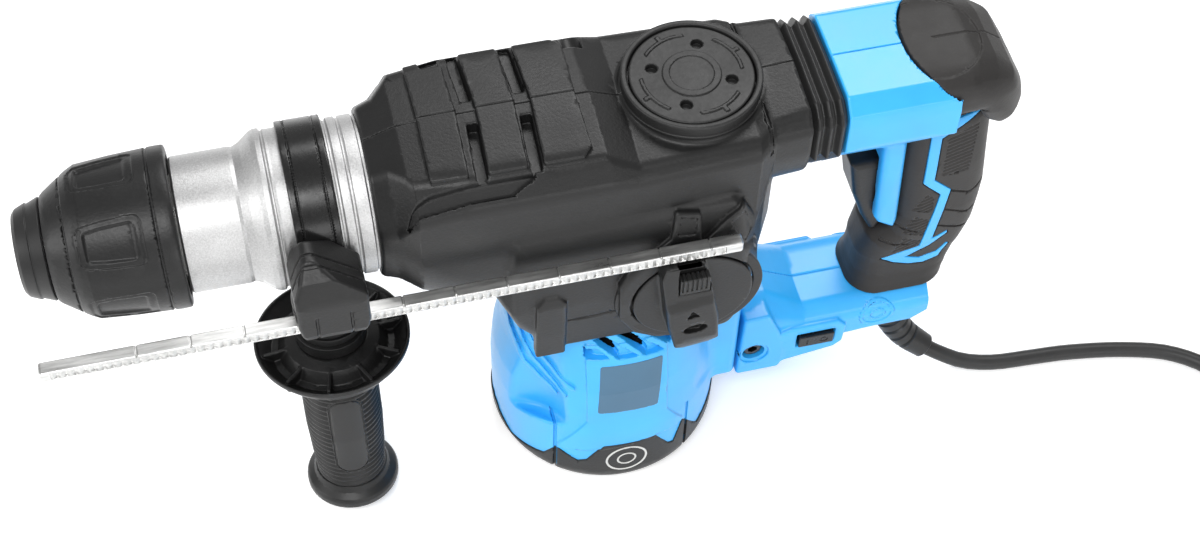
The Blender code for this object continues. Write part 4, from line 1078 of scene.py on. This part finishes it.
# ---- nose and barrel
def sleeve_field(x, y, z):
    r = np.hypot(y, z)
    out = poly(x, r, [(-217.6, 12), (-217.6, 20.3), (-216.2, 21.6), (-206.8, 28.0), (-203.5, 29.6),
        (-190, 30.7), (-172, 31.5), (-169.6, 31.3), (-169.1, 30.2), (-169.1, 12)], 0.8)
    ang = (np.arctan2(z, y) + 0.30) % (math.tau / 6) - math.tau / 12
    arc = ang * r
    w = table(x, [-206, -196, -183], [5.2, 6.6, 7.4])
    big = rmax(np.abs(arc) - w - 2.4, slab(x, -205.5, -181.5), 3.0)
    small = rmax(np.abs(arc) - w, slab(x, -203, -184.5), 1.6)
    d = carve(out, big, 0.55, 0.4)
    d = rmax(d, -rmax(small, 28.6 - r + 0.09 * (x + 203) - 0.6, 1.2), 0.6)
    d = carve(d, np.abs(x + 176.2) - 0.5, 0.5, 0.2)
    d = carve(d, np.abs(x + 209.4) - 0.35, 0.35, 0.15)
    bore = poly(x, r, [(-230, -5), (-230, 17.4), (-211, 17.4), (-206, 24.0), (-203, 26.9), (-160, 26.9),
        (-160, -5)])
    return rmax(d, -bore)


piece("sleeve_shell", sleeve_field, (-219, -32.5, -32.5), (-168, 32.5, 32.5), 0.5, "chuck", "black", BLACK,
    "chuck_sleeve", adapt=FLAT)
place(lathe("nose_ring", [(-229, 7.5), (-229, 15.2), (-227.6, 16.9), (-223.6, 18.6), (-223.2, 18.1),
    (-222.4, 18.4), (-218.6, 20.0), (-218.2, 19.6), (-218.2, 12.0), (-225.6, 12.0), (-225.6, 7.5)], r=0.7,
    steps=96), "spindle", "rubber", RUBBER, "nose_cap")

BARREL = [(-168.6, 20.9), (-168.6, 25.6), (-167.8, 26.4), (-146, 26.4), (-144.6, 26.0), (-143.6, 26.4),
    (-141.6, 27.4), (-137.5, 30.6), (-135.5, 31.4), (-133.6, 31.4), (-133.0, 30.2), (-132.4, 30.2),
    (-132.0, 30.8), (-131.0, 30.6), (-109.4, 30.6), (-109.0, 29.9), (-108.2, 29.9), (-107.8, 30.9),
    (-104.6, 30.9), (-104.2, 30.1), (-103.4, 30.1), (-103.0, 30.9), (-98.2, 30.9), (-97.9, 30.0),
    (-96.8, 30.0), (-96.6, 28.6), (-62, 28.6), (-62, 23.0), (-150, 23.0), (-150, 20.9)]
place(lathe("barrel_casting", BARREL, r=0.35, steps=128), "housing", "alu", CAST, "front_barrel")


# ---- side handle
def band_field(x, y, z):
    r = np.hypot(y, z)
    d = rmax(rmax(30.75 - r, r - 32.7, 0.2), slab(x, CLAMP_X - 8.6, CLAMP_X + 8.6), 0.5)
    return carve(d, np.abs(np.abs(x - CLAMP_X) - 5.4) - 0.35, 0.4, 0.15)


piece("clamp_strap", band_field, (CLAMP_X - 9.5, -34, -34), (CLAMP_X + 9.5, 34, 34), 0.5, "side_clamp",
    "black", DARK, "clamp_band", turn=SWUNG, adapt=FLAT)

HEAD = [(-13.5, -50), (-24, -45), (-34, -34), (-43.5, -23), (-50.5, -21.5), (-53.2, -17), (-55, 0),
    (-53, 11), (-46, 16.5), (-36, 17), (-24, 0), (0, -24), (26, -8), (36, -4), (38, -14), (33, -30),
    (14, -50)]
turn_y = ROD_Y * math.cos(SWING) - ROD_Z * math.sin(SWING)
turn_z = ROD_Y * math.sin(SWING) + ROD_Z * math.cos(SWING)


def head_field(x, y, z):
    u = x - CLAMP_X
    r = np.hypot(y, z)
    d = rmax(poly(y, z, HEAD, 1.5), np.abs(u) - table(z, [-50, -24, -12, 4, 11, 17],
        [11.5, 11.5, 13.6, 13.6, 11.0, 8.0]), 1.6)
    d = rmax(d, 0.62 * (u + 5) + 0.78 * z - 13.5, 1.0)
    d = rmax(d, -(r - 33.2), 0.4)
    d = rmax(d, -rmax(np.abs(y - turn_y) - 3.0, np.abs(z - turn_z) - 3.0, 0.2), 0.3)
    for gy in (-47.5, -42.5):
        d = carve(d, rmax(np.abs(y - gy) - 0.6, -z), 0.8, 0.2)
    for gu in (-6.5, 6.5):
        d = carve(d, rmax(np.abs(u - gu) - 0.5, z + 6), 0.5, 0.2)
    well = rmax(np.hypot(u, y) - 7.4, -42.7 - z)
    d = rmax(d, -well)
    return rmax(d, -(np.hypot(u, y) - 4.3))


piece("clamp_block", head_field, (CLAMP_X - 13, -56, -51), (CLAMP_X + 13, 39.5, 18.5), 0.55, "side_clamp",
    "black", BLACK, "clamp_head", turn=SWUNG, adapt=FLAT)

FOOT = (CLAMP_X, 0, 0)
NECK = [(-50.6, 4.5), (-50.6, 12.4), (-51.6, 13.2)]
for i in range(4):
    t = -53.0 - i * 4.6
    NECK += [(t, 13.9), (t - 2.9, 14.0), (t - 3.3, 12.6), (t - 4.3, 12.6)]
NECK += [(-71.6, 14.6), (-76.8, 14.6), (-77.4, 14.0), (-77.4, 4.5)]
place(lathe("handle_collar", NECK, "Z", FOOT, 0.35, 96, SWUNG), "side_handle", "black", BLACK, "handle_neck")
DISH = [(-77.8, 4.6), (-77.8, 15.0), (-79.5, 19.5), (-84.2, 22.6), (-84.6, 25.5), (-80.2, 30.4),
    (-78.4, 31.4), (-78.6, 32.2), (-80.4, 32.2), (-87.8, 27.4), (-90.0, 21.0), (-90.0, 4.6)]


def dish_field(x, y, z):
    u = x - CLAMP_X
    r = np.hypot(u, y)
    d = poly(z, r, DISH, 0.5)
    ang = (np.arctan2(y, u) + 0.2) % (math.tau / 10) - math.tau / 20
    rib = rmax(np.abs(ang * r) - 0.7, rmax(slab(r, 14, 29.4), slab(z, -86, -79.6), 0.5), 0.4)
    d = rmin(d, rib, 0.8)
    return rmax(d, -(r - 4.6))


piece("hand_dish", dish_field, (CLAMP_X - 33.5, -33.5, -91), (CLAMP_X + 33.5, 33.5, -76.5), 0.5,
    "side_handle", "black", BLACK, "hand_guard", turn=SWUNG, adapt=FLAT)
GRIPS = [(-90.4, -5), (-90.4, 14.8), (-92.4, 15.8), (-108, 16.4), (-130, 16.6), (-150, 15.8),
    (-162.6, 15.0), (-166.4, 16.6), (-168.4, 19.4), (-170, 20.1), (-172.6, 20.1), (-174.5, 18.8),
    (-174.6, -5)]


def side_grip_field(x, y, z):
    u = x - CLAMP_X
    r = np.hypot(u, y)
    d = poly(z, r, GRIPS, 0.8)
    ang = np.arctan2(y, u)
    off = np.abs((ang + math.pi) % math.pi - math.pi / 2) * r
    panel = rmax(off - 7.0, slab(z, -152, -104), 6.0)
    reg = rmax(slab(z, -164, -93.5), -panel + 0.8, 0.3)
    wave = 0.5 + 0.5 * np.cos(z * (math.tau / 3.1))
    d = rmax(d, np.minimum(-reg, d + 0.85 * wave))
    d = carve(d, rmax(np.abs(panel) - 0.35, slab(z, -160, -98)), 0.5, 0.15)
    bore = rmax(r - 4.6, slab(z, -134, -80))
    d = rmax(d, -rmax(r - 11.0, z + 173.4, 0.3), 0.3)
    return rmax(d, -bore)


piece("side_grip_sleeve", side_grip_field, (CLAMP_X - 21.5, -21.5, -175.5), (CLAMP_X + 21.5, 21.5, -89.5),
    0.5, "side_handle", "rubber", RUBBER, "side_grip", turn=SWUNG, adapt=FLAT)


# ---- depth rod
def rod_field(x, y, z):
    u, v = y - ROD_Y, z - ROD_Z
    d = rmax(rmax(np.abs(u) - 2.7, np.abs(v) - 2.7, 0.5), slab(x, -228, 41), 1.2)
    wave = np.abs((x + 225) % 3.4 - 1.7) / 1.7
    teeth = rmax(slab(x, -224, 34), np.abs(v) - 1.9)
    d = rmax(d, np.minimum(-teeth, (-2.7 + 0.9 * wave) - u))
    mark = np.abs((x + 222) % 20.0 - 10.0) - 0.35
    return carve(d, rmax(rmax(mark, slab(x, -205, 30)), 1.5 - v), 0.5, 0.1)


piece("depth_gauge", rod_field, (-229, -52, -14.5), (42, -44, -6.5), 0.4, "depth_stop", "steel", ZINC,
    "depth_rod")


# ---- mode dial
def ring_field(x, y, z):
    q = np.hypot(x - DIAL[0], z - DIAL[1])
    return rmax(rmax(25.3 - q, q - 29.4, 0.5), slab(-y, 41.9, 44.2), 0.6)


piece("dial_bezel", ring_field, (-7, -45, -76), (55, -41, -14), 0.4, "housing", "black", BLACK, "dial_ring")
TILT = math.radians(8)


def dial_field(x, y, z):
    dx, dz = x - DIAL[0], z - DIAL[1]
    q = np.hypot(dx, dz)
    v = -y
    d = rmax(q - 24.7, slab(v, 43.6, 46.0), 0.7)
    d = np.minimum(d, rmax(q - 19.6, slab(v, 41.4, 44)))
    d = np.minimum(d, rmax(q - 16, slab(v, 32.0, 42)))
    u, w = dx + 2.4, dz + 1.0
    lu, lw = u * math.cos(TILT) + w * math.sin(TILT), -u * math.sin(TILT) + w * math.cos(TILT)
    bar = [(-9.6, 27.5), (-7.4, 33.0), (5.6, 33.0), (8.8, 27.5), (9.8, 8), (10.4, -4), (9.2, -20),
        (5.6, -26.8), (-5.6, -26.8), (-9.4, -20), (-10.6, -4), (-10.2, 8)]
    side = poly(lu, lw, bar, 0.8)
    lever = rmax(side, slab(v, 44.8, 56.2), 0.9)
    lever = rmax(lever, 0.80 * side + 0.60 * (v - 56.2) + 1.1, 0.6)
    lever = rmax(lever, v - table(lw, [-27, -20, -15, 7, 12, 33], [51.0, 54.6, 56.2, 56.2, 54.6, 53.0]), 0.6)
    d = rmin(d, lever, 1.0)
    d = carve(d, rmax(poly(lu, lw, [(-2.8, 0.4), (2.8, 0.4), (0, 5.4)], 0.2), 52 - v), 2.0, 0.1)
    d = carve(d, rmax(np.hypot(lu / 1.75, lw + 7.5) - 2.8, 51 - v), 2.6, 0.15)
    pocket = rmax(rmax(slab(dx, -9.0, 4.0), slab(dz, 14.6, 29.8), 0.3), 50.2 - v)
    return rmax(d, -pocket, 0.3)


piece("mode_lever", dial_field, (-3, -57.5, -78), (50, -31, -18), 0.45, "dial", "black", BLACK, "mode_dial",
    adapt=FLAT)


def release_field(x, y, z):
    dx, dz, v = x - DIAL[0], z - DIAL[1], -y
    d = rmax(rmax(slab(dx, -8.6, 3.6), slab(dz, 15.0, 24.0), 0.5), slab(v, 50.4, 54.6), 0.5)
    wave = np.abs((dx + 8.6) % 1.9 - 0.95) - 0.3
    return carve(d, rmax(wave, slab(dz, 16.8, 24.4)), 0.5, 0.1)


piece("release_slide", release_field, (14, -56, -31), (29, -50, -20), 0.3, "dial_button", "black", GREY,
    "dial_release")

# ---- carried-over CAD pieces
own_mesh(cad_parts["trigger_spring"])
for names, mat in ((("motor_shaft", "motor_pinion", "crank_gear", "crank_pin", "lay_gear", "tool_holder",
        "lock_ball_upper", "lock_ball_lower", "bevel_gear", "chuck_spring", "impact_bolt", "ram", "piston",
        "connecting_rod", "handle_bolt", "pivot_pin", "trigger_spring"), STEEL),
        (("armature_core", "stator"), DARK_STEEL), (("commutator",), COPPER),
        (("brush_left", "brush_right"), CARBON), (("gear_plate",), CAST), (("fan", "switch_body"), DARK),
        (("plug_pin_a", "plug_pin_b"), BRASS)):
    for n in names:
        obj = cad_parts[n]
        if not obj.material_slots:
            obj.data.materials.append(mat)
        for shown in obj.material_slots:
            shown.material = mat
